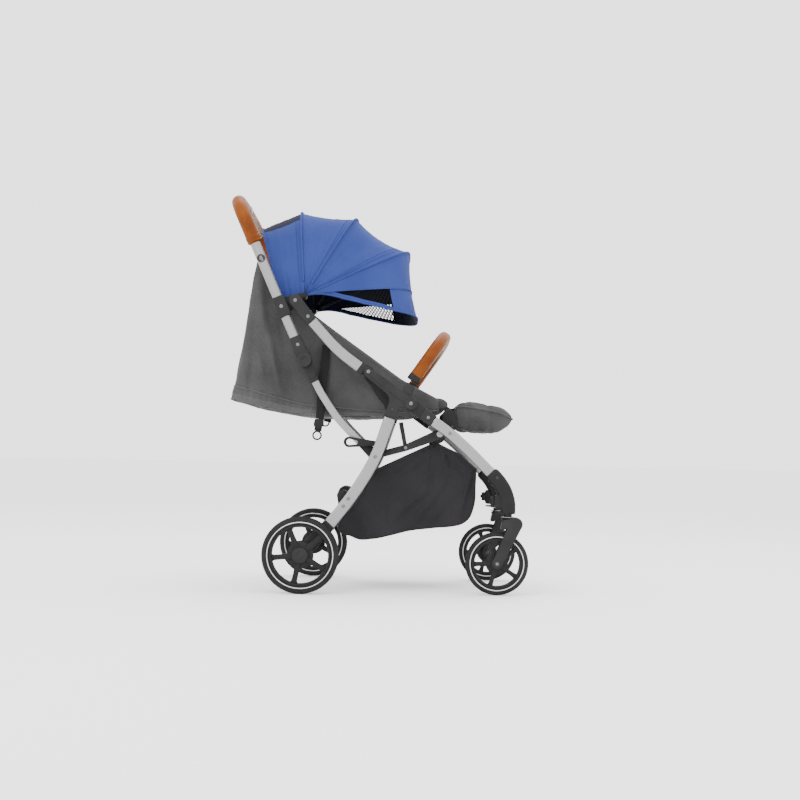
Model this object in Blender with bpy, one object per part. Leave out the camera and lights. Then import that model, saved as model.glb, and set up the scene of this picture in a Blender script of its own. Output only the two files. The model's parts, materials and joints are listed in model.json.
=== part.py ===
# Folding baby stroller. Metres, +Z up, front of the stroller towards +X, right side towards -Y.
# The origin is on the floor, under the middle of the bounding box.
import math

import bmesh
import bpy
from mathutils import Vector

SIDES = {"r": -1, "l": 1}
GAP = 0.0003  # between pieces that touch

# Pivots of the folding frame, as (x, z)
HUB_REAR = (-0.0197, 0.5404)  # side tube on hub bracket
HUB_FRONT = (0.0848, 0.4646)  # front leg on hub bracket
HANDLE_PIVOT = (-0.2004, 0.7108)  # handle on side tube
LOCK_PIVOT = (-0.1760, 0.5664)  # upper and lower half of the folding strut
LOWER_PIVOT = (-0.0025, 0.3339)  # folding strut on rear leg
BRACE_REAR = (0.0120, 0.3400)
BRACE_MIDDLE = (0.0737, 0.3572)
BRACE_FRONT = (0.1573, 0.3922)
CANOPY_PIVOT = (-0.1815, 0.7262)
RECLINE_PIVOT = (-0.0040, 0.4470)
LEGREST_PIVOT = (0.1885, 0.4120)

# Wheels
REAR_RADIUS = 0.0935
REAR_AXLE = (-0.1769, REAR_RADIUS)
REAR_PLANE = 0.2520
REAR_WIDTH = 0.0220
FRONT_RADIUS = 0.0772
FRONT_AXLE = (0.3015, FRONT_RADIUS)
FRONT_PLANE = 0.2035
FRONT_WIDTH = 0.0200
CASTOR_X = 0.3270
RIM_SHARE = 0.80  # rim radius over tyre radius
WHEEL_SEGMENTS = 24
SPOKES = 5
AXLE_RADIUS = 0.0040
BORE_RADIUS = 0.0045

# Lateral layers of the side frames, as (inner, outer) distance from the middle plane
HUB_LAYER = (0.2135, 0.2345)
LUG_LAYER = (0.1985, 0.2130)
STRUT_LAYER = (0.1785, 0.1935)
BRACE_LAYER = (0.1725, 0.1775)
BRACE_INNER_LAYER = (0.1668, 0.1720)
TUBE_LINE = 0.2200  # middle of handle tube and side tube
FRONT_LEG_LINE = 0.2035
REAR_LEG_TOP_LINE = 0.2225
REAR_LEG_FOOT_LINE = 0.2300
PIN_END = 0.2165  # pins from the inner layers stop at the rear leg's inner face

# Tube sections
TUBE_DEPTH = 0.0190
SIDE_TUBE_WIDTH = 0.0260
HANDLE_TUBE_WIDTH = 0.0250
REAR_LEG_WIDTH = 0.0280
REAR_LEG_DEPTH = 0.0150
FRONT_LEG_WIDTH = 0.0260
FRONT_LEG_DEPTH = 0.0180
LOWER_TUBE_WIDTH = 0.0190
GRIP_RADIUS = 0.0175

# Canopy: the rear edge from base to tip, then each bow's angle from +X in degrees and reach from the pivot
CANOPY_REAR_EDGE = ((-0.2365, 0.7135), (-0.2935, 0.9040))
CANOPY_BOWS = [(93.8, 0.2203), (59.0, 0.2405), (25.7, 0.2845), (-8.0, 0.2830)]
CANOPY_SQUARENESS = 4.5
CANOPY_HALF_WIDTH = 0.1970
CANOPY_SKIN = 0.0030
BOW_WIDTH = 0.0060
BOW_DEPTH = 0.0028
BOW_STEP = 0.0042  # each bow lies inside the one behind it

# Soft parts
SEAT_HALF_WIDTH = 0.1600
WALL_INNER = 0.1635
WALL_OUTER = 0.1660
BASKET_HALF_WIDTH = 0.1640
BASKET_WALL = 0.0040

FINISHES = {  # colour, roughness, metallic
    "silver": ((0.53, 0.53, 0.54), 0.35, 0.9),
    "charcoal": ((0.07, 0.07, 0.072), 0.5, 0.0),
    "black": ((0.025, 0.025, 0.026), 0.5, 0.0),
    "rubber": ((0.03, 0.03, 0.031), 0.75, 0.0),
    "leather": ((0.50, 0.13, 0.025), 0.45, 0.0),
    "grey_fabric": ((0.13, 0.128, 0.13), 0.9, 0.0),
    "black_fabric": ((0.035, 0.033, 0.036), 0.9, 0.0),
    "blue_fabric": ((0.10, 0.16, 0.44), 0.85, 0.0),
}


def clear_scene():
    for obj in list(bpy.data.objects):
        bpy.data.objects.remove(obj, do_unlink=True)


def make_material(name, finish):
    colour, roughness, metallic = FINISHES[finish]
    material = bpy.data.materials.new(name + "_material")
    material.use_nodes = True
    shader = material.node_tree.nodes["Principled BSDF"]
    shader.inputs["Base Color"].default_value = (*colour, 1.0)
    shader.inputs["Roughness"].default_value = roughness
    shader.inputs["Metallic"].default_value = metallic
    return material


def link_mesh(name, bm):
    bmesh.ops.recalc_face_normals(bm, faces=bm.faces[:])
    mesh = bpy.data.meshes.new(name)
    bm.to_mesh(mesh)
    bm.free()
    obj = bpy.data.objects.new(name, mesh)
    bpy.context.scene.collection.objects.link(obj)
    return obj


def add_piece(name, bm, finish, origin=(0.0, 0.0, 0.0)):
    bmesh.ops.translate(bm, verts=bm.verts[:], vec=-Vector(origin))
    piece = link_mesh(name, bm)
    piece.location = origin
    piece.data.materials.append(make_material(name, finish))
    piece.data.shade_smooth()
    piece.data.set_sharp_from_angle(angle=math.radians(35))
    return piece


def combine(piece, bm, operation):
    helper = link_mesh(piece.name + "_helper", bm)
    helper.hide_render = True
    helper.display_type = "WIRE"
    modifier = piece.modifiers.new(operation.lower(), "BOOLEAN")
    modifier.operation = operation
    modifier.solver = "EXACT"
    modifier.object = helper


def add(piece, bm):
    combine(piece, bm, "UNION")


def cut(piece, bm):
    combine(piece, bm, "DIFFERENCE")


# ---- shapes ----


def at(side, point, y):
    return Vector((point[0], side * y, point[1]))


def toward(start, end, share):
    return tuple(a + (b - a) * share for a, b in zip(start, end))


def prism(outline, side, y_inner, y_outer):
    """An outline of (x, z) points, extruded from y_inner to y_outer on one side."""
    bm = bmesh.new()
    verts = [bm.verts.new(at(side, point, y_inner)) for point in outline]
    face = bm.faces.new(verts)
    grown = bmesh.ops.extrude_face_region(bm, geom=[face])["geom"]
    moved = [v for v in grown if isinstance(v, bmesh.types.BMVert)]
    bmesh.ops.translate(bm, verts=moved, vec=(0, side * (y_outer - y_inner), 0))
    return bm


def arc(centre, radius, start, end, steps):
    turns = [math.radians(start + (end - start) * i / steps) for i in range(steps + 1)]
    return [(centre[0] + radius * math.cos(t), centre[1] + radius * math.sin(t)) for t in turns]


def link_outline(start, end, start_radius, end_radius, steps=7):
    """The outline of a bar with a round end at each pivot."""
    run = (end[0] - start[0], end[1] - start[1])
    heading = math.degrees(math.atan2(run[1], run[0]))
    lean = math.degrees(math.acos((start_radius - end_radius) / math.hypot(*run)))
    far = arc(end, end_radius, heading - lean, heading + lean, steps)
    near = arc(start, start_radius, heading + lean, heading + 360 - lean, steps)
    return far + near


def bar_outline(start, end, start_width, end_width):
    run = Vector((end[0] - start[0], end[1] - start[1])).normalized()
    normal = (-run.y, run.x)
    corners = []
    for point, half in ((start, start_width / 2), (end, end_width / 2)):
        for sign in (1, -1):
            corners.append((point[0] + sign * half * normal[0], point[1] + sign * half * normal[1]))
    return [corners[0], corners[1], corners[3], corners[2]]


def smooth_path(points, steps):
    """A smooth curve through the points, with this many steps between neighbours."""
    points = [Vector(p) for p in points]
    padded = [2 * points[0] - points[1]] + points + [2 * points[-1] - points[-2]]
    path = []
    for before, here, after, beyond in zip(padded, padded[1:], padded[2:], padded[3:]):
        for step in range(steps):
            t = step / steps
            path.append(
                0.5 * (2 * here + (after - before) * t
                       + (2 * before - 5 * here + 4 * after - beyond) * t * t
                       + (3 * here - before - 3 * after + beyond) * t ** 3)
            )
    return path + [points[-1]]


def path_rings(bm, path, width, depth, sides):
    """Rings of an oval section along a path. The depth lies along Y where the path is flat."""
    rings = []
    across = Vector((0, 1, 0))
    for i, point in enumerate(path):
        ahead = path[min(i + 1, len(path) - 1)]
        behind = path[max(i - 1, 0)]
        run = (ahead - behind).normalized()
        across = across - across.dot(run) * run
        if across.length < 0.01:
            across = run.cross(Vector((0, 0, 1)))
        across.normalize()
        up = run.cross(across)
        ring = []
        for k in range(sides):
            turn = 2 * math.pi * (k + 0.5) / sides
            offset = up * math.cos(turn) * width / 2 + across * math.sin(turn) * depth / 2
            ring.append(bm.verts.new(point + offset))
        rings.append(ring)
    return rings


def skin(bm, first, second):
    count = len(first)
    for k in range(count):
        n = (k + 1) % count
        bm.faces.new((first[k], first[n], second[n], second[k]))


def tube(path, width, depth, sides=10):
    bm = bmesh.new()
    rings = path_rings(bm, path, width, depth, sides)
    for first, second in zip(rings, rings[1:]):
        skin(bm, first, second)
    bm.faces.new(rings[0])
    bm.faces.new(rings[-1])
    return bm


def sleeve(path, outer, inner, sides=10):
    """A tube with an open bore along the path."""
    bm = bmesh.new()
    shells = [path_rings(bm, path, 2 * radius, 2 * radius, sides) for radius in (outer, inner)]
    for rings in shells:
        for first, second in zip(rings, rings[1:]):
            skin(bm, first, second)
    for end in (0, -1):
        skin(bm, shells[0][end], shells[1][end])
    return bm


def rod(start, end, radius, sides=10):
    start, end = Vector(start), Vector(end)
    run = (end - start).normalized()
    across = run.orthogonal().normalized()
    up = run.cross(across)
    bm = bmesh.new()
    rings = []
    for centre in (start, end):
        turns = [2 * math.pi * k / sides for k in range(sides)]
        rings.append([
            bm.verts.new(centre + radius * (across * math.cos(t) + up * math.sin(t))) for t in turns
        ])
    skin(bm, *rings)
    bm.faces.new(rings[0])
    bm.faces.new(rings[1])
    return bm


def block(low, high):
    bm = bmesh.new()
    bmesh.ops.create_cube(bm, size=1.0)
    for vert in bm.verts:
        vert.co = [a + (b - a) * (c + 0.5) for a, b, c in zip(low, high, vert.co)]
    return bm


def turned(profile, centre, y_centre, segments):
    """A closed profile of (radius, y) points, turned about the Y line through centre."""
    bm = bmesh.new()
    rings = []
    flat = 1 / math.cos(math.pi / segments)  # the middle of each facet lies on the true circle
    for k in range(segments):
        turn = 2 * math.pi * (k + 0.5) / segments - math.pi / 2
        rings.append([
            bm.verts.new((centre[0] + flat * r * math.cos(turn), y_centre + y, centre[1] + flat * r * math.sin(turn)))
            for r, y in profile
        ])
    for first, second in zip(rings, rings[1:] + rings[:1]):
        skin(bm, first, second)
    return bm


# ---- wheels ----


def tyre(radius, width, centre, y):
    half = width / 2
    inner = radius * RIM_SHARE + GAP
    profile = [
        (inner, -0.80 * half), (radius * 0.88, -half), (radius, -0.42 * half),
        (radius, 0.42 * half), (radius * 0.88, half), (inner, 0.80 * half),
    ]
    return turned(profile, centre, y, WHEEL_SEGMENTS)


def rim(radius, width, centre, y):
    outer = radius * RIM_SHARE
    inner = outer - 0.0055
    hub = radius * 0.19
    hub_half = width * 0.46
    web_half = width * 0.22
    rim_half = width * 0.38
    half_profile = [
        (BORE_RADIUS, hub_half), (hub, hub_half), (hub + 0.002, web_half), (inner, web_half), (inner, rim_half),
        (outer, rim_half),
    ]
    profile = half_profile + [(r, -w) for r, w in reversed(half_profile)]
    return turned(profile, centre, y, WHEEL_SEGMENTS)


def spoke_windows(radius, centre, side, y, first_spoke):
    """Five prisms that leave five spokes when they are cut from the web."""
    low = radius * 0.19 + 0.006
    high = radius * RIM_SHARE - 0.0075
    half_spoke = radius * 0.065
    windows = bmesh.new()
    for k in range(SPOKES):
        start = first_spoke + 360 / SPOKES * k
        end = start + 360 / SPOKES
        low_lean = math.degrees(math.asin(half_spoke * 1.3 / low))
        high_lean = math.degrees(math.asin(half_spoke / high))
        outline = arc(centre, high, start + high_lean, end - high_lean, 3)
        outline += arc(centre, low, end - low_lean, start + low_lean, 1)
        window = prism(outline, side, y - 0.02, y + 0.02)
        mesh = bpy.data.meshes.new("window")
        window.to_mesh(mesh)
        window.free()
        windows.from_mesh(mesh)
        bpy.data.meshes.remove(mesh)
    return windows


def add_wheel(end, tag, radius, width, centre, plane, first_spoke):
    side = SIDES[tag]
    origin = at(side, centre, plane)
    y = side * plane
    add_piece(f"{end}_tyre_{tag}", tyre(radius, width, centre, y), "rubber", origin)
    wheel_rim = add_piece(f"{end}_rim_{tag}", rim(radius, width, centre, y), "black", origin)
    cut(wheel_rim, spoke_windows(radius, centre, side, plane, first_spoke))


# ---- chassis ----

REAR_LEG_PATH = [(0.0338, 0.4288), (0.0014, 0.3352), (-0.0333, 0.2715), (-0.0686, 0.2193), (-0.1130, 0.1625)]


def add_hub_bracket(tag):
    """The charcoal casting that holds side tube, front leg, rear leg and bumper bar."""
    side = SIDES[tag]
    inner, outer = HUB_LAYER
    bracket = add_piece(f"hub_bracket_{tag}", prism(
        link_outline(HUB_REAR, HUB_FRONT, 0.0146, 0.0170), side, inner, outer), "charcoal")
    branch = bar_outline((0.0500, 0.4755), (0.0338 + 0.0001, 0.4288 + GAP), 0.0320, 0.0285)
    add(bracket, prism(branch, side, inner - 0.0005, outer - 0.001))
    add(bracket, prism(link_outline((0.0620, 0.4830), (0.0795, 0.5085), 0.0150, 0.0150), side, inner, 0.2300))
    for pivot in (HUB_REAR, HUB_FRONT):
        add(bracket, rod(at(side, pivot, LUG_LAYER[0] - 0.0015), at(side, pivot, inner + 0.002), 0.0040))
    return bracket


def rear_leg_points(side):
    lines = [REAR_LEG_TOP_LINE + (REAR_LEG_FOOT_LINE - REAR_LEG_TOP_LINE) * share for share in (0, 0.3, 0.55, 0.8, 1)]
    return [at(side, point, line) for point, line in zip(REAR_LEG_PATH, lines)]


def add_rear_leg(tag):
    side = SIDES[tag]
    path = smooth_path(rear_leg_points(side), 3)
    path[0] = path[0] + (path[1] - path[0]) * 0.02
    path[-1] = path[-1] + (path[-2] - path[-1]) * 0.02
    add_piece(f"rear_leg_{tag}", tube(path, REAR_LEG_WIDTH, REAR_LEG_DEPTH), "silver")


def add_axle_housing(tag):
    side = SIDES[tag]
    inner, outer = 0.2225, 0.2375
    foot = REAR_LEG_PATH[-1]
    start = toward(foot, REAR_AXLE, 0.02)
    housing = add_piece(f"axle_housing_{tag}", prism(
        bar_outline(start, toward(foot, REAR_AXLE, 0.75), 0.0300, 0.0330), side, inner, outer), "black")
    add(housing, prism(link_outline(toward(foot, REAR_AXLE, 0.60), REAR_AXLE, 0.0155, 0.0190),
                       side, inner, outer + 0.001))
    add(housing, rod(at(side, REAR_AXLE, 0.2300), at(side, REAR_AXLE, 0.2640), AXLE_RADIUS))


CROSSBAR = (-0.0790, 0.2380)
PEDAL_HALF_WIDTH = 0.0400


def add_rear_crossbar():
    """The round bar between the rear legs, with a flange on each leg."""
    bar = add_piece("rear_crossbar", rod((CROSSBAR[0], -0.2150, CROSSBAR[1]), (CROSSBAR[0], 0.2150, CROSSBAR[1]),
                                         0.0100, 18), "black")
    for side in SIDES.values():
        add(bar, prism(link_outline(CROSSBAR, (-0.0760, 0.2110), 0.0130, 0.0110), side, 0.2120, 0.2185))


def add_brake_pedal():
    origin = (CROSSBAR[0], 0.0, CROSSBAR[1])
    collar = [
        (0.0104, -PEDAL_HALF_WIDTH), (0.0145, -PEDAL_HALF_WIDTH), (0.0145, PEDAL_HALF_WIDTH),
        (0.0104, PEDAL_HALF_WIDTH),
    ]
    pedal = add_piece("brake_pedal", turned(collar, CROSSBAR, 0.0, 18), "black", origin)
    tread = [ray(CROSSBAR, angle, 0.0190) for angle in range(35, 171, 15)]
    tread += [ray(CROSSBAR, angle, 0.0125) for angle in range(170, 34, -15)]
    add(pedal, prism(tread, 1, -PEDAL_HALF_WIDTH, PEDAL_HALF_WIDTH))


def add_fold_latch():
    """The hook that holds the folded frame shut, on the right side of the strut."""
    side = SIDES["r"]
    pivot = (0.0020, 0.3660)
    loop = (-0.0653, 0.3691)
    latch = add_piece("fold_latch", prism(link_outline(loop, pivot, 0.0130, 0.0060), side, 0.2030, 0.2080),
                      "black", at(side, pivot, 0.2055))
    cut(latch, prism(link_outline(toward(loop, pivot, 0.02), toward(loop, pivot, 0.25), 0.0075, 0.0050),
                     side, 0.2000, 0.2110))
    add(latch, rod(at(side, pivot, 0.2050), at(side, pivot, PIN_END - 0.0005), 0.0035))


def add_basket():
    """A fabric tub, open at the top."""
    outer = [
        (0.1463, 0.3680), (0.0016, 0.2995), (-0.0480, 0.2250), (-0.0949, 0.1569), (-0.0616, 0.1336),
        (-0.0213, 0.1249), (0.0795, 0.1455), (0.1499, 0.1561), (0.2203, 0.1713), (0.2431, 0.2164),
        (0.2440, 0.3040),
    ]
    inner = [
        (0.1455, 0.3800), (0.0040, 0.3100), (0.0060, 0.2960), (-0.0440, 0.2240), (-0.0880, 0.1580), (-0.0605, 0.1380),
        (-0.0210, 0.1295), (0.0790, 0.1500), (0.1493, 0.1605), (0.2170, 0.1750), (0.2388, 0.2170),
        (0.2398, 0.3160),
    ]
    basket = add_piece("basket", prism(outer, 1, -BASKET_HALF_WIDTH, BASKET_HALF_WIDTH), "black_fabric")
    half = BASKET_HALF_WIDTH - BASKET_WALL
    cut(basket, prism(inner, 1, -half, half))


# ---- seat ----


def add_seat_pad():
    outline = [
        (0.0020, 0.4340), (0.0020, 0.4640), (0.0300, 0.4760), (0.1000, 0.4790), (0.1720, 0.4800), (0.1830, 0.4700),
        (0.1830, 0.4560), (0.1500, 0.4480), (0.0700, 0.4360),
    ]
    add_piece("seat_pad", prism(outline, 1, -SEAT_HALF_WIDTH, SEAT_HALF_WIDTH), "grey_fabric")


def add_backrest():
    """The padded board behind the child, lying almost flat. It turns up about its front edge."""
    outline = [
        (-0.0080, 0.4335), (-0.0776, 0.4334), (-0.1891, 0.4364), (-0.2834, 0.4522), (-0.3490, 0.4670),
        (-0.3500, 0.4840), (-0.2850, 0.4780), (-0.1891, 0.4630), (-0.0776, 0.4590), (-0.0100, 0.4600),
    ]
    origin = at(1, RECLINE_PIVOT, 0)
    add_piece("backrest", prism(outline, 1, -SEAT_HALF_WIDTH, SEAT_HALF_WIDTH), "grey_fabric", origin)


def add_seat_shell():
    """The fabric side walls and rear wall around the backrest and the seat, open at the top, front and bottom."""
    rear = [(-0.3642, 0.4700), (-0.3489, 0.5179), (-0.3330, 0.6048), (-0.3176, 0.7165), (-0.3043, 0.8108)]
    front = [
        (-0.2500, 0.7950), (-0.2080, 0.7380), (-0.1593, 0.6790), (-0.1186, 0.6487), (0.0606, 0.5223), (0.1540, 0.4740),
        (0.1540, 0.4480), (0.0700, 0.4360), (-0.0776, 0.4340), (-0.1891, 0.4370), (-0.2834, 0.4530),
    ]
    shell = add_piece("seat_shell", prism(rear + front, 1, -WALL_OUTER, WALL_OUTER), "grey_fabric")
    inner = [(x + 0.0040, z) for x, z in rear]
    inner[0] = (-0.3605, 0.4500)
    inner += [(-0.2950, 0.9000), (0.2000, 0.9000), (0.2000, 0.4000), (-0.3605, 0.4000)]
    cut(shell, prism(inner, 1, -WALL_INNER, WALL_INNER))


def add_legrest():
    outline = [
        (0.1905, 0.4150), (0.1905, 0.4650), (0.2020, 0.4745), (0.2450, 0.4700), (0.3100, 0.4590), (0.3420, 0.4450),
        (0.3440, 0.4330), (0.3290, 0.4100), (0.3000, 0.4030), (0.2350, 0.4060), (0.2000, 0.4070),
    ]
    origin = at(1, LEGREST_PIVOT, 0)
    add_piece("legrest", prism(outline, 1, -SEAT_HALF_WIDTH, SEAT_HALF_WIDTH), "grey_fabric", origin)


BUMPER_FOOT = (0.0890, 0.5224)
BUMPER_TIP = (0.1680, 0.6377)
BUMPER_LINE = 0.2150


def add_bumper_bar():
    """The leather bar in front of the child: a flat U whose ends stand on the hub brackets."""
    stations = [(0.0, 1.0), (0.35, 1.0), (0.62, 0.97), (0.84, 0.84), (0.96, 0.62), (1.0, 0.35), (1.0, 0.0)]
    half = [(toward(BUMPER_FOOT, BUMPER_TIP, along), out * BUMPER_LINE) for along, out in stations]
    points = [at(-1, point, y) for point, y in half] + [at(1, point, y) for point, y in reversed(half[:-1])]
    path = smooth_path(points, 2)
    add_piece("bumper_bar", tube(path, 0.0300, 0.0280, 12), "leather", at(1, BUMPER_FOOT, 0))


# ---- front frame ----

FRONT_LEG_PATH = [(0.1411, 0.4227), (0.1819, 0.3935), (0.2310, 0.3500), (0.2831, 0.2991)]
KNEE_PATH = [(0.2835, 0.2987), (0.3020, 0.2790), (0.3170, 0.2560), (0.3255, 0.2300), (0.3270, 0.2100), (0.3270, 0.1993)]


def add_front_knuckle(tag):
    """The casting on the front leg's upper end, which turns about the hub bracket's front pin."""
    side = SIDES[tag]
    inner, outer = LUG_LAYER
    knuckle = add_piece(f"front_knuckle_{tag}", prism(
        link_outline(HUB_FRONT, (0.1250, 0.4345), 0.0165, 0.0145), side, inner + 0.0005, outer),
        "charcoal", at(side, HUB_FRONT, FRONT_LEG_LINE))
    add(knuckle, prism(bar_outline((0.1120, 0.4430), (0.1408, 0.4229), 0.0290, 0.0290), side, 0.1925, outer + 0.0010))
    cut(knuckle, rod(at(side, HUB_FRONT, 0.18), at(side, HUB_FRONT, 0.23), BORE_RADIUS))


def add_front_leg(tag):
    side = SIDES[tag]
    path = smooth_path([at(side, p, FRONT_LEG_LINE) for p in FRONT_LEG_PATH], 3)
    path[0] = path[0] + (path[1] - path[0]) * 0.02
    path[-1] = path[-1] + (path[-2] - path[-1]) * 0.02
    add_piece(f"front_leg_{tag}", tube(path, FRONT_LEG_WIDTH, FRONT_LEG_DEPTH), "silver",
              at(side, HUB_FRONT, FRONT_LEG_LINE))


def add_front_knee(tag):
    side = SIDES[tag]
    path = smooth_path([at(side, p, FRONT_LEG_LINE) for p in KNEE_PATH], 2)
    knee = add_piece(f"front_knee_{tag}", tube(path, 0.0360, 0.0240, 12), "black", at(side, HUB_FRONT, FRONT_LEG_LINE))
    add(knee, block((0.2940, side * FRONT_LEG_LINE - 0.009, 0.2120), (0.3200, side * FRONT_LEG_LINE + 0.009, 0.2440)))


def add_front_crossbar():
    reach = 0.1940
    add_piece("front_crossbar", rod((BRACE_FRONT[0], -reach, BRACE_FRONT[1]), (BRACE_FRONT[0], reach, BRACE_FRONT[1]),
                                    0.0080, 16), "silver")


def add_castor_fork(tag):
    side = SIDES[tag]
    line = side * FRONT_PLANE
    fork = add_piece(f"castor_fork_{tag}", block((0.3090, line - 0.0170, 0.1585), (0.3560, line + 0.0170, 0.1850)),
                     "black", (CASTOR_X, line, 0.1700))
    shoulder = (0.3465, 0.1745)
    for inner, outer in ((0.0110, 0.0170), (-0.0170, -0.0110)):
        add(fork, prism(link_outline(shoulder, FRONT_AXLE, 0.0155, 0.0125), side,
                        FRONT_PLANE + inner, FRONT_PLANE + outer))
    add(fork, rod((CASTOR_X, line, 0.1800), (CASTOR_X, line, 0.1989), 0.0105, 16))
    add(fork, rod(at(side, FRONT_AXLE, FRONT_PLANE - 0.014), at(side, FRONT_AXLE, FRONT_PLANE + 0.014), AXLE_RADIUS))


def add_castor_lock(tag):
    side = SIDES[tag]
    line = side * FRONT_LEG_LINE
    add_piece(f"castor_lock_{tag}", block((0.2850, line - 0.007, 0.2180), (0.2937, line + 0.007, 0.2400)),
              "black", (0.2890, line, 0.2290))


# ---- braces under the seat ----


def add_braces(tag):
    side = SIDES[tag]
    rear = add_piece(f"brace_rear_{tag}", prism(
        link_outline(BRACE_REAR, BRACE_MIDDLE, 0.0080, 0.0080), side, *BRACE_INNER_LAYER),
        "black", at(side, BRACE_REAR, BRACE_INNER_LAYER[0]))
    add(rear, rod(at(side, BRACE_REAR, 0.1700), at(side, BRACE_REAR, PIN_END), 0.0040))
    front = add_piece(f"brace_front_{tag}", prism(
        link_outline(BRACE_MIDDLE, BRACE_FRONT, 0.0080, 0.0125), side, *BRACE_LAYER),
        "black", at(side, BRACE_FRONT, BRACE_LAYER[0]))
    cut(front, rod(at(side, BRACE_FRONT, 0.16), at(side, BRACE_FRONT, 0.19), 0.0085, 16))


# ---- side tubes and folding strut ----

SIDE_TUBE_PATH = [(-0.1593, 0.6614), (-0.1271, 0.6255), (-0.1047, 0.6019), (-0.0783, 0.5788), (-0.0342, 0.5463)]
LOWER_TUBE_PATH = [(-0.1519, 0.5166), (-0.1328, 0.4827), (-0.0944, 0.4276), (-0.0505, 0.3813), (-0.0132, 0.3448)]


def add_side_tube(tag):
    """The silver tube from the hub bracket up to the handle pivot, with a flat lug on the hub pin."""
    side = SIDES[tag]
    path = smooth_path([at(side, p, TUBE_LINE) for p in SIDE_TUBE_PATH], 2)
    path[0] = path[0] + (path[1] - path[0]) * 0.03
    side_tube = add_piece(f"side_tube_{tag}", tube(path, SIDE_TUBE_WIDTH, TUBE_DEPTH), "silver",
                          at(side, HUB_REAR, TUBE_LINE))
    add(side_tube, prism(link_outline((-0.0560, 0.5625), HUB_REAR, 0.0110, 0.0140), side, LUG_LAYER[0], LUG_LAYER[1]))
    cut(side_tube, rod(at(side, HUB_REAR, 0.18), at(side, HUB_REAR, 0.24), BORE_RADIUS))


def add_side_housing(tag):
    side = SIDES[tag]
    housing = add_piece(f"side_housing_{tag}", prism(
        link_outline(HANDLE_PIVOT, (-0.1720, 0.6760), 0.0155, 0.0140), side, 0.2120, 0.2345),
        "charcoal", at(side, HANDLE_PIVOT, TUBE_LINE))
    add(housing, prism(bar_outline((-0.1840, 0.6900), (-0.1596, 0.6617), 0.0285, 0.0275), side, 0.2095, 0.2335))
    add(housing, rod(at(side, HANDLE_PIVOT, LUG_LAYER[0] - 0.0010), at(side, HANDLE_PIVOT, 0.2150), AXLE_RADIUS))


HANDLE_FOOT = (-0.2016, 0.6220)
HANDLE_BEND = (-0.3006, 0.8494)
HANDLE_TOP = (-0.3530, 0.9680)


def handle_points():
    legs = [
        (HANDLE_FOOT, TUBE_LINE), ((-0.2485, 0.7285), TUBE_LINE), (HANDLE_BEND, TUBE_LINE),
        ((-0.3300, 0.9160), 0.2165), ((-0.3425, 0.9445), 0.1960), ((-0.3495, 0.9600), 0.1500),
        (HANDLE_TOP, 0.0),
    ]
    right = [at(-1, point, y) for point, y in legs]
    left = [at(1, point, y) for point, y in reversed(legs[:-1])]
    return right + left


def add_handle_tube():
    path = smooth_path(handle_points(), 2)
    add_piece("handle_tube", tube(path, HANDLE_TUBE_WIDTH, HANDLE_TUBE_WIDTH, 12), "silver", at(1, HANDLE_PIVOT, 0))


def add_handle_grip():
    """The leather sleeve over the handle's bend and crossbar."""
    path = [p for p in smooth_path(handle_points(), 2) if p.z > HANDLE_BEND[1] - 0.001]
    bore = HANDLE_TUBE_WIDTH / 2 + GAP
    grip = add_piece("handle_grip", sleeve(path, GRIP_RADIUS, bore, 12), "leather", at(1, HANDLE_PIVOT, 0))
    top = at(1, HANDLE_TOP, 0)
    cut(grip, block(top + Vector((0.0132, -0.0150, -0.0080)), top + Vector((0.0300, 0.0150, 0.0080))))


def add_fold_button():
    top = at(1, HANDLE_TOP, 0)
    add_piece("fold_button", block(top + Vector((0.0155, -0.0142, -0.0072)), top + Vector((0.0185, 0.0142, 0.0072))),
              "silver", top + Vector((0.0170, 0.0, 0.0)))


def add_handle_bracket(tag):
    """The sleeve on the handle tube, whose ear carries the pin to the side tube."""
    side = SIDES[tag]
    start, end = (-0.2440, 0.7181), (-0.2239, 0.6725)
    bracket = add_piece(f"handle_bracket_{tag}", prism(bar_outline(start, end, 0.0310, 0.0310), side, 0.2040, 0.2360),
                        "charcoal", at(side, HANDLE_PIVOT, TUBE_LINE))
    add(bracket, prism(link_outline((-0.2340, 0.6955), HANDLE_PIVOT, 0.0150, 0.0135), side, 0.1990, 0.2088))
    bore = HANDLE_TUBE_WIDTH + 2 * GAP
    run = smooth_path(handle_points()[:3], 2)
    if side > 0:
        run = [Vector((p.x, -p.y, p.z)) for p in run]
    cut(bracket, tube(run, bore, bore, 12))
    cut(bracket, rod(at(side, HANDLE_PIVOT, 0.18), at(side, HANDLE_PIVOT, 0.22), BORE_RADIUS))


def add_upper_hinge(tag):
    side = SIDES[tag]
    foot = toward(HANDLE_FOOT, LOCK_PIVOT, 0.006)
    hinge = add_piece(f"upper_hinge_{tag}", prism(
        link_outline((-0.1900, 0.5970), LOCK_PIVOT, 0.0145, 0.0170), side, 0.2010, 0.2330),
        "charcoal", at(side, LOCK_PIVOT, TUBE_LINE))
    add(hinge, prism(bar_outline(foot, (-0.1880, 0.5930), 0.0270, 0.0300), side, 0.2075, 0.2325))


def add_lower_hinge(tag):
    side = SIDES[tag]
    end = toward(LOCK_PIVOT, LOWER_TUBE_PATH[0], 0.995)
    hinge = add_piece(f"lower_hinge_{tag}", prism(
        link_outline(LOCK_PIVOT, (-0.1600, 0.5330), 0.0150, 0.0110), side, 0.1860, 0.2005),
        "charcoal", at(side, LOCK_PIVOT, STRUT_LAYER[1]))
    add(hinge, prism(bar_outline((-0.1640, 0.5420), end, 0.0220, 0.0210), side, STRUT_LAYER[0], 0.1980))


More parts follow.
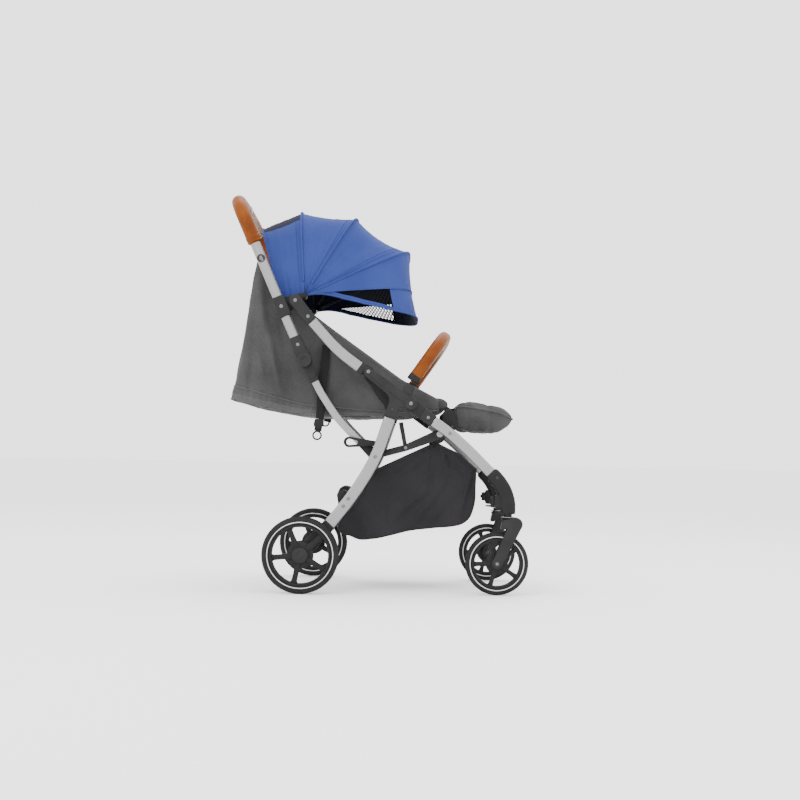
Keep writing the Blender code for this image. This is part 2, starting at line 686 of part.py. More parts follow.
def add_lower_tube(tag):
    side = SIDES[tag]
    inner, outer = STRUT_LAYER
    line = (inner + outer) / 2
    path = smooth_path([at(side, p, line) for p in LOWER_TUBE_PATH], 2)
    path[0] = path[0] + (path[1] - path[0]) * 0.03
    lower = add_piece(f"lower_tube_{tag}", tube(path, LOWER_TUBE_WIDTH, outer - inner), "silver",
                      at(side, LOWER_PIVOT, line))
    add(lower, prism(link_outline((-0.0300, 0.3615), LOWER_PIVOT, 0.0085, 0.0110), side, inner + 0.003, outer - 0.001))
    add(lower, rod(at(side, LOWER_PIVOT, line), at(side, LOWER_PIVOT, PIN_END), 0.0050))


# ---- canopy ----


def ray(centre, angle, radius):
    turn = math.radians(angle)
    return (centre[0] + radius * math.cos(turn), centre[1] + radius * math.sin(turn))


def arch(base, tip, half_width, steps=9, power=CANOPY_SQUARENESS):
    """A squared-off arch from one side to the other. Base and tip are (x, z) points."""
    points = []
    for k in range(2 * steps + 1):
        t = math.pi * k / (2 * steps)
        out = abs(math.sin(t)) ** (2 / power)
        across = -math.copysign(abs(math.cos(t)) ** (2 / power), math.cos(t))
        points.append(at(1, toward(base, tip, out), half_width * across))
    return points


def bow_arch(angle, reach, half_width, base_radius, steps=9):
    return arch(ray(CANOPY_PIVOT, angle, base_radius), ray(CANOPY_PIVOT, angle, reach), half_width, steps)


def canopy_sheet(first, second, steps=2):
    """A fabric panel between two arches, as a thin closed skin. Each edge is an (outer, inner) pair of arches."""
    shells = []
    bm = bmesh.new()
    for start, end in zip(first, second):
        rows = []
        for k in range(steps + 1):
            rows.append([bm.verts.new(p.lerp(q, k / steps)) for p, q in zip(start, end)])
        shells.append(rows)
    for rows in shells:
        for low, high in zip(rows, rows[1:]):
            for a, b, c, d in zip(low, low[1:], high[1:], high):
                bm.faces.new((a, b, c, d))
    edges = [[shell[row] for shell in shells] for row in (0, -1)]
    edges += [[[row[column] for row in shell] for shell in shells] for column in (0, -1)]
    for outer, inner in edges:
        for a, b, c, d in zip(outer, outer[1:], inner[1:], inner):
            bm.faces.new((a, b, c, d))
    return bm


def canopy_edge(angle, reach):
    insets = (0.0, CANOPY_SKIN)
    return [bow_arch(angle, reach - inset, CANOPY_HALF_WIDTH - inset, 0.018) for inset in insets]


def add_canopy():
    trim = 0.35  # degrees between neighbouring panels
    origin = at(1, CANOPY_PIVOT, 0)
    base, tip = CANOPY_REAR_EDGE
    inner_tip = toward(tip, base, CANOPY_SKIN / math.dist(base, tip))
    rear = [arch(base, tip, CANOPY_HALF_WIDTH), arch(base, inner_tip, CANOPY_HALF_WIDTH - CANOPY_SKIN)]
    angle, reach = CANOPY_BOWS[0]
    add_piece("canopy_rear_panel", canopy_sheet(rear, canopy_edge(angle + trim, reach)), "blue_fabric", origin)
    names = ["canopy_middle_panel", "canopy_front_panel", "canopy_visor"]
    for name, first, second in zip(names, CANOPY_BOWS, CANOPY_BOWS[1:]):
        start = canopy_edge(first[0] - trim, first[1])
        end = canopy_edge(second[0] + trim, second[1])
        add_piece(name, canopy_sheet(start, end), "blue_fabric", origin)
    for number, (angle, reach) in enumerate(CANOPY_BOWS[:3], 1):
        inset = CANOPY_SKIN + 0.0025
        path = bow_arch(angle, reach - inset, CANOPY_HALF_WIDTH - inset - BOW_STEP * (number - 1), 0.020, 8)
        add_piece(f"canopy_bow_{number}", tube(path, BOW_WIDTH, BOW_DEPTH, 6), "black", origin)


def build():
    clear_scene()
    for tag in SIDES:
        add_hub_bracket(tag)
        add_rear_leg(tag)
        add_axle_housing(tag)
        add_wheel("rear", tag, REAR_RADIUS, REAR_WIDTH, REAR_AXLE, REAR_PLANE, 42)
        add_wheel("front", tag, FRONT_RADIUS, FRONT_WIDTH, FRONT_AXLE, FRONT_PLANE, 38)
        add_front_knuckle(tag)
        add_front_leg(tag)
        add_front_knee(tag)
        add_castor_fork(tag)
        add_castor_lock(tag)
        add_braces(tag)
        add_side_tube(tag)
        add_side_housing(tag)
        add_handle_bracket(tag)
        add_upper_hinge(tag)
        add_lower_hinge(tag)
        add_lower_tube(tag)
    add_rear_crossbar()
    add_brake_pedal()
    add_fold_latch()
    add_basket()
    add_seat_pad()
    add_backrest()
    add_seat_shell()
    add_legrest()
    add_bumper_bar()
    add_front_crossbar()
    add_handle_tube()
    add_handle_grip()
    add_fold_button()
    add_canopy()


build()
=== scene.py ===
import json
import math

import bmesh
import bpy
import numpy as np
from mathutils import Matrix, Vector, noise

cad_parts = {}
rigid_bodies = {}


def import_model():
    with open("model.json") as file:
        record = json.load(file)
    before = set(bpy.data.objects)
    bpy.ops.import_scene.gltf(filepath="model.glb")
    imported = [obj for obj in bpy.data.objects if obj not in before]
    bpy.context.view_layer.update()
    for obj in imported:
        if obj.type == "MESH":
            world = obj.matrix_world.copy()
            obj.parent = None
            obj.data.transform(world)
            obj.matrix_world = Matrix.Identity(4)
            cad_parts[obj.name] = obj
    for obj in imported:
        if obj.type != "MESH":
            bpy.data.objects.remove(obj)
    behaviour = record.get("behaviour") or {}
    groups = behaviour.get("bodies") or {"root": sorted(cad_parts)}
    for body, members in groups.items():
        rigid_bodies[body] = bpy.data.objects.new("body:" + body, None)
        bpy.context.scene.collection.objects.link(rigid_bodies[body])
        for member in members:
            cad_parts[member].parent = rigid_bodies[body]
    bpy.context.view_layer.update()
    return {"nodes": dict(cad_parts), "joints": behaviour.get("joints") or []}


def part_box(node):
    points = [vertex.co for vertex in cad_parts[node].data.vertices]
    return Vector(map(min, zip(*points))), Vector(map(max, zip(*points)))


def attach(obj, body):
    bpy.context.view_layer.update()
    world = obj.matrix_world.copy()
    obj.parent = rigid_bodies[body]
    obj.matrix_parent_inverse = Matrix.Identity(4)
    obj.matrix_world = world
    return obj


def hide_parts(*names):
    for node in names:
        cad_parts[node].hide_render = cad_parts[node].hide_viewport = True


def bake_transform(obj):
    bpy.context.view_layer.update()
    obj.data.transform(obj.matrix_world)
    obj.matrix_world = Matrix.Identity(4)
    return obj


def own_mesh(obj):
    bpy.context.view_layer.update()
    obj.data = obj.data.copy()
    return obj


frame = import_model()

sides = {"r": -1, "l": 1}
pivot = {joint["name"]: Vector(joint["pos_m"]) for joint in frame["joints"] if "pos_m" in joint}
print("frame loaded:", len(frame["nodes"]), "parts")


# Camera, floor and light

stageLook = {
    "cameraPlace": (0.069, -3.6, 0.3437),
    "lens": 62.4,
    "shift": (-0.0045, 0.0665),
    "roll": 0.96,  # degrees
    "floorColour": (0.93, 0.93, 0.93),
    "worldLight": 2.6,
}


def makeCamera():
    data = bpy.data.cameras.new("camera")
    data.lens = stageLook["lens"]
    data.sensor_width = 36
    data.shift_x, data.shift_y = stageLook["shift"]
    camera = bpy.data.objects.new("camera", data)
    upright = Matrix.Rotation(math.radians(90), 4, "X") @ Matrix.Rotation(math.radians(stageLook["roll"]), 4,
            "Z")
    camera.matrix_world = Matrix.Translation(stageLook["cameraPlace"]) @ upright
    bpy.context.scene.collection.objects.link(camera)
    bpy.context.scene.camera = camera


def makeLight(name, place, target, size, power):
    data = bpy.data.lights.new(name, "AREA")
    data.shape = "SQUARE"
    data.size = size
    data.energy = power
    light = bpy.data.objects.new(name, data)
    light.location = place
    light.rotation_euler = (Vector(target) - Vector(place)).to_track_quat("-Z", "Y").to_euler()
    bpy.context.scene.collection.objects.link(light)


def makeStage():
    makeCamera()
    world = bpy.data.worlds.new("studio")
    world.use_nodes = True
    world.node_tree.nodes["Background"].inputs["Color"].default_value = (1, 1, 1, 1)
    world.node_tree.nodes["Background"].inputs["Strength"].default_value = stageLook["worldLight"]
    bpy.context.scene.world = world
    makeLight("keyLight", (-1.4, -2.6, 2.6), (0.0, 0.0, 0.5), 1.6, 55)
    makeLight("fillLight", (2.4, -2.2, 1.6), (0.0, 0.0, 0.4), 1.8, 12)
    makeLight("topLight", (0.2, 0.6, 3.0), (0.0, 0.0, 0.4), 2.2, 60)
    bm = bmesh.new()
    bmesh.ops.create_grid(bm, x_segments=1, y_segments=1, size=40)
    mesh = bpy.data.meshes.new("floor")
    bm.to_mesh(mesh)
    bm.free()
    floor = bpy.data.objects.new("floor", mesh)
    floor.location = (0, 0, -0.0005)
    bpy.context.scene.collection.objects.link(floor)
    floorFinish = bpy.data.materials.new("floorFinish")
    floorFinish.use_nodes = True
    shader = floorFinish.node_tree.nodes["Principled BSDF"]
    shader.inputs["Base Color"].default_value = (*stageLook["floorColour"], 1)
    shader.inputs["Roughness"].default_value = 0.85
    mesh.materials.append(floorFinish)
    print("stage set")


# Materials

class Nodes:  # builds one material's node tree
    def __init__(self, name, **sockets):
        self.material = bpy.data.materials.new(name)
        self.material.use_nodes = True
        self.tree = self.material.node_tree
        self.shader = self.tree.nodes["Principled BSDF"]
        for socket, value in sockets.items():
            self.shader.inputs[socket.replace("_", " ")].default_value = value

    def add(self, kind, settings=None, **inputs):
        node = self.tree.nodes.new(kind)
        for key, value in (settings or {}).items():
            setattr(node, key, value)
        for key, value in inputs.items():
            self.put(node.inputs[key.replace("_", " ")], value)
        return node

    def put(self, socket, value):
        if isinstance(value, bpy.types.NodeSocket):
            self.tree.links.new(value, socket)
        else:
            socket.default_value = value

    def math(self, operation, *values):
        node = self.add("ShaderNodeMath", {"operation": operation})
        for socket, value in zip(node.inputs, values):
            self.put(socket, value)
        return node.outputs[0]

    def noise(self, place, scale, detail=2.0, stretch=(1, 1, 1)):
        mapped = self.add("ShaderNodeMapping", Vector=place, Scale=stretch)
        return self.add("ShaderNodeTexNoise", Vector=mapped.outputs[0], Scale=scale,
                        Detail=detail).outputs["Fac"]

    def ramp(self, value, low, high, fromLow=0.35, fromHigh=0.65):
        node = self.add("ShaderNodeMapRange", Value=value, To_Min=low, To_Max=high)
        node.inputs["From Min"].default_value = fromLow
        node.inputs["From Max"].default_value = fromHigh
        return node.outputs[0]

    def tint(self, value, dark, light):
        node = self.add("ShaderNodeMix", {"data_type": "RGBA"})
        self.put(node.inputs[0], value)
        self.put(node.inputs[6], (*dark, 1))
        self.put(node.inputs[7], (*light, 1))
        return node.outputs[2]

    def bump(self, height, strength, distance, under=None):
        node = self.add("ShaderNodeBump", Height=height, Strength=strength, Distance=distance)
        if under:
            self.put(node.inputs["Normal"], under)
        return node.outputs[0]

    def finish(self, colour=None, roughness=None, normal=None):
        for name, value in (("Base Color", colour), ("Roughness", roughness), ("Normal", normal)):
            if value is not None:
                self.put(self.shader.inputs[name], value)
        return self.material


def uvOf(build):
    return build.add("ShaderNodeUVMap").outputs[0]


def placeOf(build):
    return build.add("ShaderNodeTexCoord").outputs["Object"]


def wovenFabric(name, dark, light, thread=0.0011, rough=0.88, sheen=0.25, mottle=0.5, ribs=0.0):
    build = Nodes(name, Sheen_Weight=sheen, Sheen_Roughness=0.5, Specular_IOR_Level=0.15)
    uv, place = uvOf(build), placeOf(build)
    split = build.add("ShaderNodeSeparateXYZ", Vector=uv)
    turn = math.pi / thread
    across = build.math("MULTIPLY", split.outputs[0], turn)
    along = build.math("MULTIPLY", split.outputs[1], turn)
    warp = build.math("ABSOLUTE", build.math("SINE", across))
    weft = build.math("ABSOLUTE", build.math("SINE", along))
    over = build.math("MULTIPLY", build.math("SINE", build.math("MULTIPLY", across, 0.5)),
                      build.math("SINE", build.math("MULTIPLY", along, 0.5)))
    over = build.math("GREATER_THAN", over, 0.0)
    first = build.math("MULTIPLY", warp, over)
    second = build.math("MULTIPLY", weft, build.math("SUBTRACT", 1.0, over))
    weave = build.math("ADD", first, second)
    cloudy = build.noise(place, 9.0, 3.0)
    fibre = build.noise(uv, 900.0, 2.0, (1, 0.25, 1))
    shade = build.math("ADD", build.math("MULTIPLY", cloudy, mottle), build.math("MULTIPLY", fibre,
            1 - mottle))
    colour = build.tint(build.ramp(shade, 0.0, 1.0, 0.36, 0.64), dark, light)
    normal = build.bump(weave, 0.35, 0.0003, build.bump(build.noise(place, 60.0, 3.0), 0.25, 0.0012))
    return build.finish(colour, build.ramp(fibre, rough - 0.06, min(1.0, rough + 0.06)), normal)


def meshNet(name, colour, hole=0.0024):
    build = Nodes(name, Roughness=0.9, Specular_IOR_Level=0.1)
    split = build.add("ShaderNodeSeparateXYZ", Vector=uvOf(build))
    turn = math.pi / hole
    first = build.math("ABSOLUTE", build.math("SINE", build.math("MULTIPLY", build.math(
        "ADD", split.outputs[0], split.outputs[1]), turn)))
    second = build.math("ABSOLUTE", build.math("SINE", build.math("MULTIPLY", build.math(
        "SUBTRACT", split.outputs[0], split.outputs[1]), turn)))
    thread = build.math("MINIMUM", first, second)
    alpha = build.math("LESS_THAN", thread, 0.56)
    build.put(build.shader.inputs["Alpha"], alpha)
    shade = build.noise(placeOf(build), 300.0)
    return build.finish(build.tint(shade, colour, tuple(c * 1.6 for c in colour)))


def satinTube(name, dark, light):
    build = Nodes(name, Metallic=0.85)
    uv, place = uvOf(build), placeOf(build)
    brushed = build.noise(uv, 1400.0, 2.0, (1, 0.08, 1))
    speckle = build.noise(place, 1600.0, 2.0)
    worn = build.noise(place, 14.0, 4.0)
    mixed = build.math("ADD", build.math("MULTIPLY", brushed, 0.35), build.math("MULTIPLY", speckle, 0.65))
    colour = build.tint(build.ramp(mixed, 0, 1), dark, light)
    rough = build.math("ADD", build.ramp(worn, 0.34, 0.44), build.math("MULTIPLY", speckle, 0.05))
    return build.finish(colour, rough, build.bump(mixed, 0.12, 0.0002))


def mouldedPlastic(name, dark, light, rough=0.5, grain=0.18):
    build = Nodes(name, Specular_IOR_Level=0.22)
    place = placeOf(build)
    texture = build.noise(place, 1500.0, 3.0)
    cloudy = build.noise(place, 25.0, 3.0)
    edges = build.add("ShaderNodeNewGeometry").outputs["Pointiness"]
    worn = build.ramp(edges, 0.0, 0.6, 0.52, 0.62)
    shade = build.math("ADD", build.math("MULTIPLY", build.ramp(cloudy, 0, 1), 0.6), worn)
    colour = build.tint(build.math("MINIMUM", shade, 1.0), dark, light)
    return build.finish(colour, build.ramp(texture, rough - 0.05, rough + 0.08),
                        build.bump(texture, grain, 0.0003))


def tyreRubber(name):
    build = Nodes(name, Specular_IOR_Level=0.15)
    place = placeOf(build)
    dusty = build.noise(place, 30.0, 4.0)
    grain = build.noise(place, 1200.0, 2.0)
    colour = build.tint(build.ramp(dusty, 0, 1), (0.006, 0.006, 0.0062), (0.014, 0.014, 0.0142))
    return build.finish(colour, build.ramp(dusty, 0.62, 0.8), build.bump(grain, 0.2, 0.0003))


def stitchedLeather(name, dark, light):
    build = Nodes(name, Specular_IOR_Level=0.12)
    place = placeOf(build)
    cells = build.add("ShaderNodeTexVoronoi", {"feature": "DISTANCE_TO_EDGE"}, Vector=place,
                      Scale=620.0).outputs[0]
    creases = build.math("MINIMUM", build.math("MULTIPLY", cells, 3.0), 1.0)
    cloudy = build.noise(place, 22.0, 4.0)
    fine = build.noise(place, 1500.0, 3.0)
    edges = build.add("ShaderNodeNewGeometry").outputs["Pointiness"]
    shade = build.math("ADD", build.math("MULTIPLY", build.ramp(cloudy, 0, 1), 0.75),
                       build.ramp(edges, 0.0, 0.25, 0.5, 0.6))
    colour = build.tint(build.math("MINIMUM", shade, 1.0), dark, light)
    normal = build.bump(creases, 0.22, 0.0004, build.bump(fine, 0.1, 0.0003))
    return build.finish(colour, build.ramp(cloudy, 0.36, 0.5), normal)


def plainSteel(name, colour, rough=0.3):
    build = Nodes(name, Metallic=1.0)
    scuffs = build.noise(placeOf(build), 700.0, 3.0)
    return build.finish(build.tint(scuffs, tuple(c * 0.8 for c in colour), colour),
                        build.ramp(scuffs, rough - 0.06, rough + 0.1), build.bump(scuffs, 0.08, 0.0002))


def webbing(name, dark, light):
    build = Nodes(name, Specular_IOR_Level=0.1)
    split = build.add("ShaderNodeSeparateXYZ", Vector=uvOf(build))
    slant = build.math("ADD", build.math("MULTIPLY", split.outputs[0], 1.0), split.outputs[1])
    twill = build.math("ABSOLUTE", build.math("SINE", build.math("MULTIPLY", slant, math.pi / 0.0016)))
    fibre = build.noise(uvOf(build), 1500.0, 2.0, (1, 0.3, 1))
    colour = build.tint(build.math("MULTIPLY", build.math("ADD", twill, fibre), 0.5), dark, light)
    return build.finish(colour, build.ramp(fibre, 0.7, 0.85), build.bump(twill, 0.4, 0.0004))


finish = {
    "silver": satinTube("silver", (0.19, 0.19, 0.194), (0.31, 0.31, 0.315)),
    "charcoal": mouldedPlastic("charcoal", (0.0068, 0.0068, 0.0071), (0.0140, 0.0140, 0.0144), 0.6),
    "black": mouldedPlastic("black", (0.0022, 0.0022, 0.0023), (0.0055, 0.0055, 0.0056), 0.55),
    "blackSteel": mouldedPlastic("blackSteel", (0.004, 0.004, 0.004), (0.010, 0.010, 0.010), 0.38, 0.05),
    "rubber": tyreRubber("rubber"),
    "whiteRing": mouldedPlastic("whiteRing", (0.40, 0.40, 0.42), (0.55, 0.55, 0.56), 0.35, 0.04),
    "leather": stitchedLeather("leather", (0.098, 0.0205, 0.0001), (0.178, 0.0440, 0.0002)),
    "thread": wovenFabric("thread", (0.26, 0.20, 0.15), (0.42, 0.34, 0.27), 0.0004),
    "greyFabric": wovenFabric("greyFabric", (0.028, 0.0272, 0.0272), (0.056, 0.0545, 0.0545), 0.0011, 0.92,
                              0.02),
    "greyPiping": wovenFabric("greyPiping", (0.040, 0.039, 0.039), (0.066, 0.064, 0.064), 0.0007, 0.88, 0.04),
    "blackFabric": wovenFabric("blackFabric", (0.0052, 0.0047, 0.0054), (0.0130, 0.0118, 0.0134), 0.0013,
                               0.62, 0.04),
    "blueFabric": wovenFabric("blueFabric", (0.0175, 0.0300, 0.135), (0.0270, 0.0450, 0.180), 0.0009, 0.9,
                              0.01),
    "blueThread": wovenFabric("blueThread", (0.016, 0.032, 0.14), (0.026, 0.048, 0.19), 0.0005, 0.85, 0.02),
    "navyLining": wovenFabric("navyLining", (0.003, 0.004, 0.012), (0.007, 0.009, 0.024), 0.0009, 0.85, 0.02),
    "net": meshNet("net", (0.0015, 0.0015, 0.0018), 0.0086),
    "webbing": webbing("webbing", (0.004, 0.004, 0.0042), (0.013, 0.013, 0.0135)),
    "steel": plainSteel("steel", (0.16, 0.16, 0.165)),
    "darkSteel": plainSteel("darkSteel", (0.05, 0.05, 0.052), 0.32),
}
print("materials ready:", len(finish))


# Shapes

def at(side, point, y):
    return Vector((point[0], side * y, point[1]))


def toward(start, end, share):
    return tuple(a + (b - a) * share for a, b in zip(start, end))


def smoothLine(points, steps=6):
    points = [Vector(p) for p in points]
    padded = [2 * points[0] - points[1]] + points + [2 * points[-1] - points[-2]]
    line = []
    for before, here, after, beyond in zip(padded, padded[1:], padded[2:], padded[3:]):
        for step in range(steps):
            t = step / steps
            line.append(0.5 * (2 * here + (after - before) * t
                               + (2 * before - 5 * here + 4 * after - beyond) * t * t
                               + (3 * here - before - 3 * after + beyond) * t ** 3))
    return line + [points[-1]]


def evenLine(points, count):  # the same line with evenly spaced points
    points = [Vector(p) for p in points]
    lengths = [0.0]
    for a, b in zip(points, points[1:]):
        lengths.append(lengths[-1] + (b - a).length)
    line = []
    for k in range(count + 1):
        want = lengths[-1] * k / count
        i = min(max(np.searchsorted(lengths, want) - 1, 0), len(points) - 2)
        span = max(lengths[i + 1] - lengths[i], 1e-9)
        line.append(points[i].lerp(points[i + 1], (want - lengths[i]) / span))
    return line


def roundedBox(width, depth, radius, steps=5):  # section of a tube: width in the plane of its path
    section = []
    for cornerX, cornerY, start in ((1, 1, 0), (-1, 1, 90), (-1, -1, 180), (1, -1, 270)):
        for k in range(steps + 1):
            turn = math.radians(start + 90 * k / steps)
            section.append((cornerX * (width / 2 - radius) + radius * math.cos(turn),
                            cornerY * (depth / 2 - radius) + radius * math.sin(turn)))
    return section


def circle(radius, steps=24):
    return [(radius * math.cos(2 * math.pi * k / steps), radius * math.sin(2 * math.pi * k / steps))
            for k in range(steps)]


def newMesh(name, bm, finishNames, sharp=35):
    bmesh.ops.recalc_face_normals(bm, faces=bm.faces[:])
    mesh = bpy.data.meshes.new(name)
    bm.to_mesh(mesh)
    bm.free()
    mesh.shade_smooth()
    mesh.set_sharp_from_angle(angle=math.radians(sharp))
    piece = bpy.data.objects.new(name, mesh)
    bpy.context.scene.collection.objects.link(piece)
    for finishName in [finishNames] if isinstance(finishNames, str) else finishNames:
        mesh.materials.append(finish[finishName])
    return piece


def gridFaces(bm, rows, wrap=False, material=0):  # rows of points, joined by faces with a UV map in metres
    uv = bm.loops.layers.uv.verify()
    across = [0.0]
    middle = rows[len(rows) // 2]
    ring = middle + middle[:1] if wrap else middle
    for a, b in zip(ring, ring[1:]):
        across.append(across[-1] + (Vector(b) - Vector(a)).length)
    along = [0.0]
    for low, high in zip(rows, rows[1:]):
        steps = [(Vector(b) - Vector(a)).length for a, b in zip(low, high)]
        along.append(along[-1] + sum(steps) / len(steps))
    verts = [[bm.verts.new(p) for p in row] for row in rows]
    count = len(rows[0]) if wrap else len(rows[0]) - 1
    for i in range(len(rows) - 1):
        for k in range(count):
            n = (k + 1) % len(rows[0])
            corners = [verts[i][k], verts[i][n], verts[i + 1][n], verts[i + 1][k]]
            if len(set(corners)) < 4:
                continue
            face = bm.faces.new(corners)
            face.material_index = material
            places = [(across[k], along[i]), (across[k + 1], along[i]), (across[k + 1], along[i + 1]),
                      (across[k], along[i + 1])]
            for loop, place in zip(face.loops, places):
                loop[uv].uv = place
    return verts


def ringsAlong(line, section, across=(0, 1, 0), scaleAt=None):
    rings = []
    across = Vector(across)
    for i, point in enumerate(line):
        ahead = line[min(i + 1, len(line) - 1)]
        behind = line[max(i - 1, 0)]
        run = (ahead - behind).normalized()
        across = across - across.dot(run) * run
        if across.length < 0.01:
            across = run.cross(Vector((0, 0, 1)))
        across.normalize()
        up = run.cross(across)
        scale = scaleAt(i / (len(line) - 1)) if scaleAt else 1.0
        rings.append([point + (up * u + across * v) * scale for u, v in section])
    return rings


def sweepInto(bm, line, section, across=(0, 1, 0), scaleAt=None, caps=True, edge=0.0008, material=0):
    rings = ringsAlong(line, section, across, scaleAt)
    if caps:
        for end, near in ((0, 1), (-1, -2)):
            inward = (Vector(line[near]) - Vector(line[end])).normalized()
            centre = Vector(line[end])
            half = max((p - centre).length for p in rings[end])
            shrink = max(0.1, 1 - edge / half)
            lid = [centre + (p - centre) * shrink for p in rings[end]]
            rings[end] = [p + inward * edge for p in rings[end]]
            rings = [lid] + rings if end == 0 else rings + [lid]
    verts = gridFaces(bm, rings, wrap=True, material=material)
    if caps:
        for end in (0, -1):
            bm.faces.new(verts[end]).material_index = material
    return verts


def sweep(name, line, section, finishName, **kw):
    bm = bmesh.new()
    sweepInto(bm, line, section, **kw)
    return newMesh(name, bm, finishName)


def filleted(corners, radius, steps=5):  # rounds the corners of an outline of (x, z) points
    outline = []
    for i, corner in enumerate(corners):
        size = corner[2] if len(corner) > 2 else radius
        here = Vector(corner[:2])
        before = Vector(corners[i - 1][:2]) - here
        after = Vector(corners[(i + 1) % len(corners)][:2]) - here
        start = here + before.normalized() * min(size, before.length * 0.48)
        end = here + after.normalized() * min(size, after.length * 0.48)
        for k in range(steps + 1):
            t = k / steps
            outline.append(start * (1 - t) ** 2 + here * 2 * t * (1 - t) + end * t * t)
    return outline


def inset(outline, distance):  # moves every point of a closed outline inwards
    area = sum(a[0] * b[1] - b[0] * a[1] for a, b in zip(outline, outline[1:] + outline[:1]))
    sign = 1 if area > 0 else -1
    moved = []
    for i, point in enumerate(outline):
        here = Vector(point)
        before = (here - Vector(outline[i - 1]))
        after = (Vector(outline[(i + 1) % len(outline)]) - here)
        before = before.normalized() if before.length > 1e-7 else after.normalized()
        after = after.normalized() if after.length > 1e-7 else before
        normal = Vector((-(before.y + after.y), before.x + after.x))
        if normal.length < 1e-6:
            normal = Vector((-before.y, before.x))
        moved.append(here + normal.normalized() * distance * sign)
    return moved


def plateInto(bm, outline, side, inner, outer, bevel=0.0012, dome=0.0, material=0):
    rows = []
    steps = 3
    for k in range(steps + 1):
        turn = math.pi / 2 * k / steps
        loop = inset(outline, bevel * (1 - math.sin(turn)))
        rows.append([at(side, p, inner + bevel * (1 - math.cos(turn))) for p in loop])
    for k in range(steps + 1):
        turn = math.pi / 2 * (1 - k / steps)
        loop = inset(outline, bevel * (1 - math.sin(turn)))
        rows.append([at(side, p, outer - bevel * (1 - math.cos(turn))) for p in loop])
    verts = gridFaces(bm, rows, wrap=True, material=material)
    for end in (0, -1):
        bm.faces.new(verts[end]).material_index = material


def linkOutline(start, end, startRadius, endRadius, steps=14):
    run = Vector(end) - Vector(start)
    heading = math.atan2(run.y, run.x)
    lean = math.acos((startRadius - endRadius) / run.length)
    outline = []
    for centre, radius, first, last in ((end, endRadius, heading - lean, heading + lean),
                                        (start, startRadius, heading + lean, heading + 2 * math.pi - lean)):
        for k in range(steps + 1):
            turn = first + (last - first) * k / steps
            outline.append(Vector((centre[0] + radius * math.cos(turn), centre[1] + radius * math.sin(turn))))
    return outline


def barOutline(start, end, startWidth, endWidth, fillet=0.002):
    run = (Vector(end) - Vector(start)).normalized()
    normal = Vector((-run.y, run.x))
    corners = [Vector(start) + normal * startWidth / 2, Vector(start) - normal * startWidth / 2,
               Vector(end) - normal * endWidth / 2, Vector(end) + normal * endWidth / 2]
    return filleted([tuple(c) for c in corners], fillet, 3)


def turnedInto(bm, profile, centre, axis=(0, 1, 0), steps=32, material=0, closed=False):
    # profile holds (radius, distance along the axis) pairs; a closed profile makes a ring
    axis = Vector(axis).normalized()
    first = axis.orthogonal().normalized()
    second = axis.cross(first)
    rows = []
    for radius, height in profile:
        radius = max(radius, 1e-5)
        rows.append([Vector(centre) + axis * height + radius * (
            first * math.cos(2 * math.pi * k / steps) + second * math.sin(2 * math.pi * k / steps))
            for k in range(steps)])
    verts = gridFaces(bm, rows, wrap=True, material=material)
    if closed:
        for k in range(steps):
            n = (k + 1) % steps
            bm.faces.new((verts[-1][k], verts[-1][n], verts[0][n], verts[0][k])).material_index = material
    else:
        bm.faces.new(verts[0]).material_index = material
        bm.faces.new(verts[-1]).material_index = material


def roundProfile(points, radius=0.0006):  # softens the corners of a turned profile
    softened = []
    for i, point in enumerate(points):
        if i in (0, len(points) - 1):
            softened.append(point)
            continue
        here, before, after = Vector(point), Vector(points[i - 1]), Vector(points[i + 1])
        start = here + (before - here).normalized() * min(radius, (before - here).length * 0.45)
        end = here + (after - here).normalized() * min(radius, (after - here).length * 0.45)
        for t in (0, 0.5, 1):
            softened.append(tuple(start * (1 - t) ** 2 + here * 2 * t * (1 - t) + end * t * t))
    return softened


screwHeads = {}  # body name -> screws waiting to be made


def screw(body, side, point, y, radius=0.0042, kind="steel"):
    screwHeads.setdefault((body, kind), []).append((side, point, y, radius))


def makeScrews():
    for (body, kind), heads in screwHeads.items():
        bm = bmesh.new()
        for side, point, y, radius in heads:
            dome = [(radius, -0.002), (radius, 0.0006), (radius * 0.85, 0.0014), (radius * 0.5, 0.0019),
                    (radius * 0.42, 0.0019), (radius * 0.38, 0.0006), (0.0, 0.0006)]
            turnedInto(bm, dome, at(side, point, y), (0, side, 0), 20)
        piece = newMesh(f"screws.{kind}.{body}", bm, kind)
        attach(piece, body)
    print("screws placed:", sum(len(heads) for heads in screwHeads.values()))


# Wheels

wheelLook = {
    "rear": {"axle": pivot["rear_wheel_spin_r"], "width": 0.022, "firstSpoke": 114, "cap": 0.205},
    "front": {"axle": pivot["front_wheel_spin_r"], "width": 0.020, "firstSpoke": 38, "cap": 0.13},
    "rimShare": 0.80,
    "ringShare": 0.852,
    "ringWidth": 0.0024,
    "spokes": 5,
    "turnSteps": 120,
}


def tyreProfile(radius, half):
    inner = radius * wheelLook["rimShare"]
    points = [(inner, -0.80 * half), (radius * 0.835, -0.93 * half), (radius * 0.88, -half),
              (radius * 0.955, -0.86 * half), (radius * 0.99, -0.6 * half)]
    grooves = 3
    for k in range(grooves):
        middle = half * 0.7 * (k - (grooves - 1) / 2) / grooves * 2 * 0.8
        points += [(radius, middle - 0.0012), (radius - 0.0009, middle - 0.0007),
                   (radius - 0.0009, middle + 0.0007),
                   (radius, middle + 0.0012)]
    points += [(radius * 0.99, 0.6 * half), (radius * 0.955, 0.86 * half), (radius * 0.88, half),
               (radius * 0.835, 0.93 * half), (inner, 0.80 * half)]
    return points


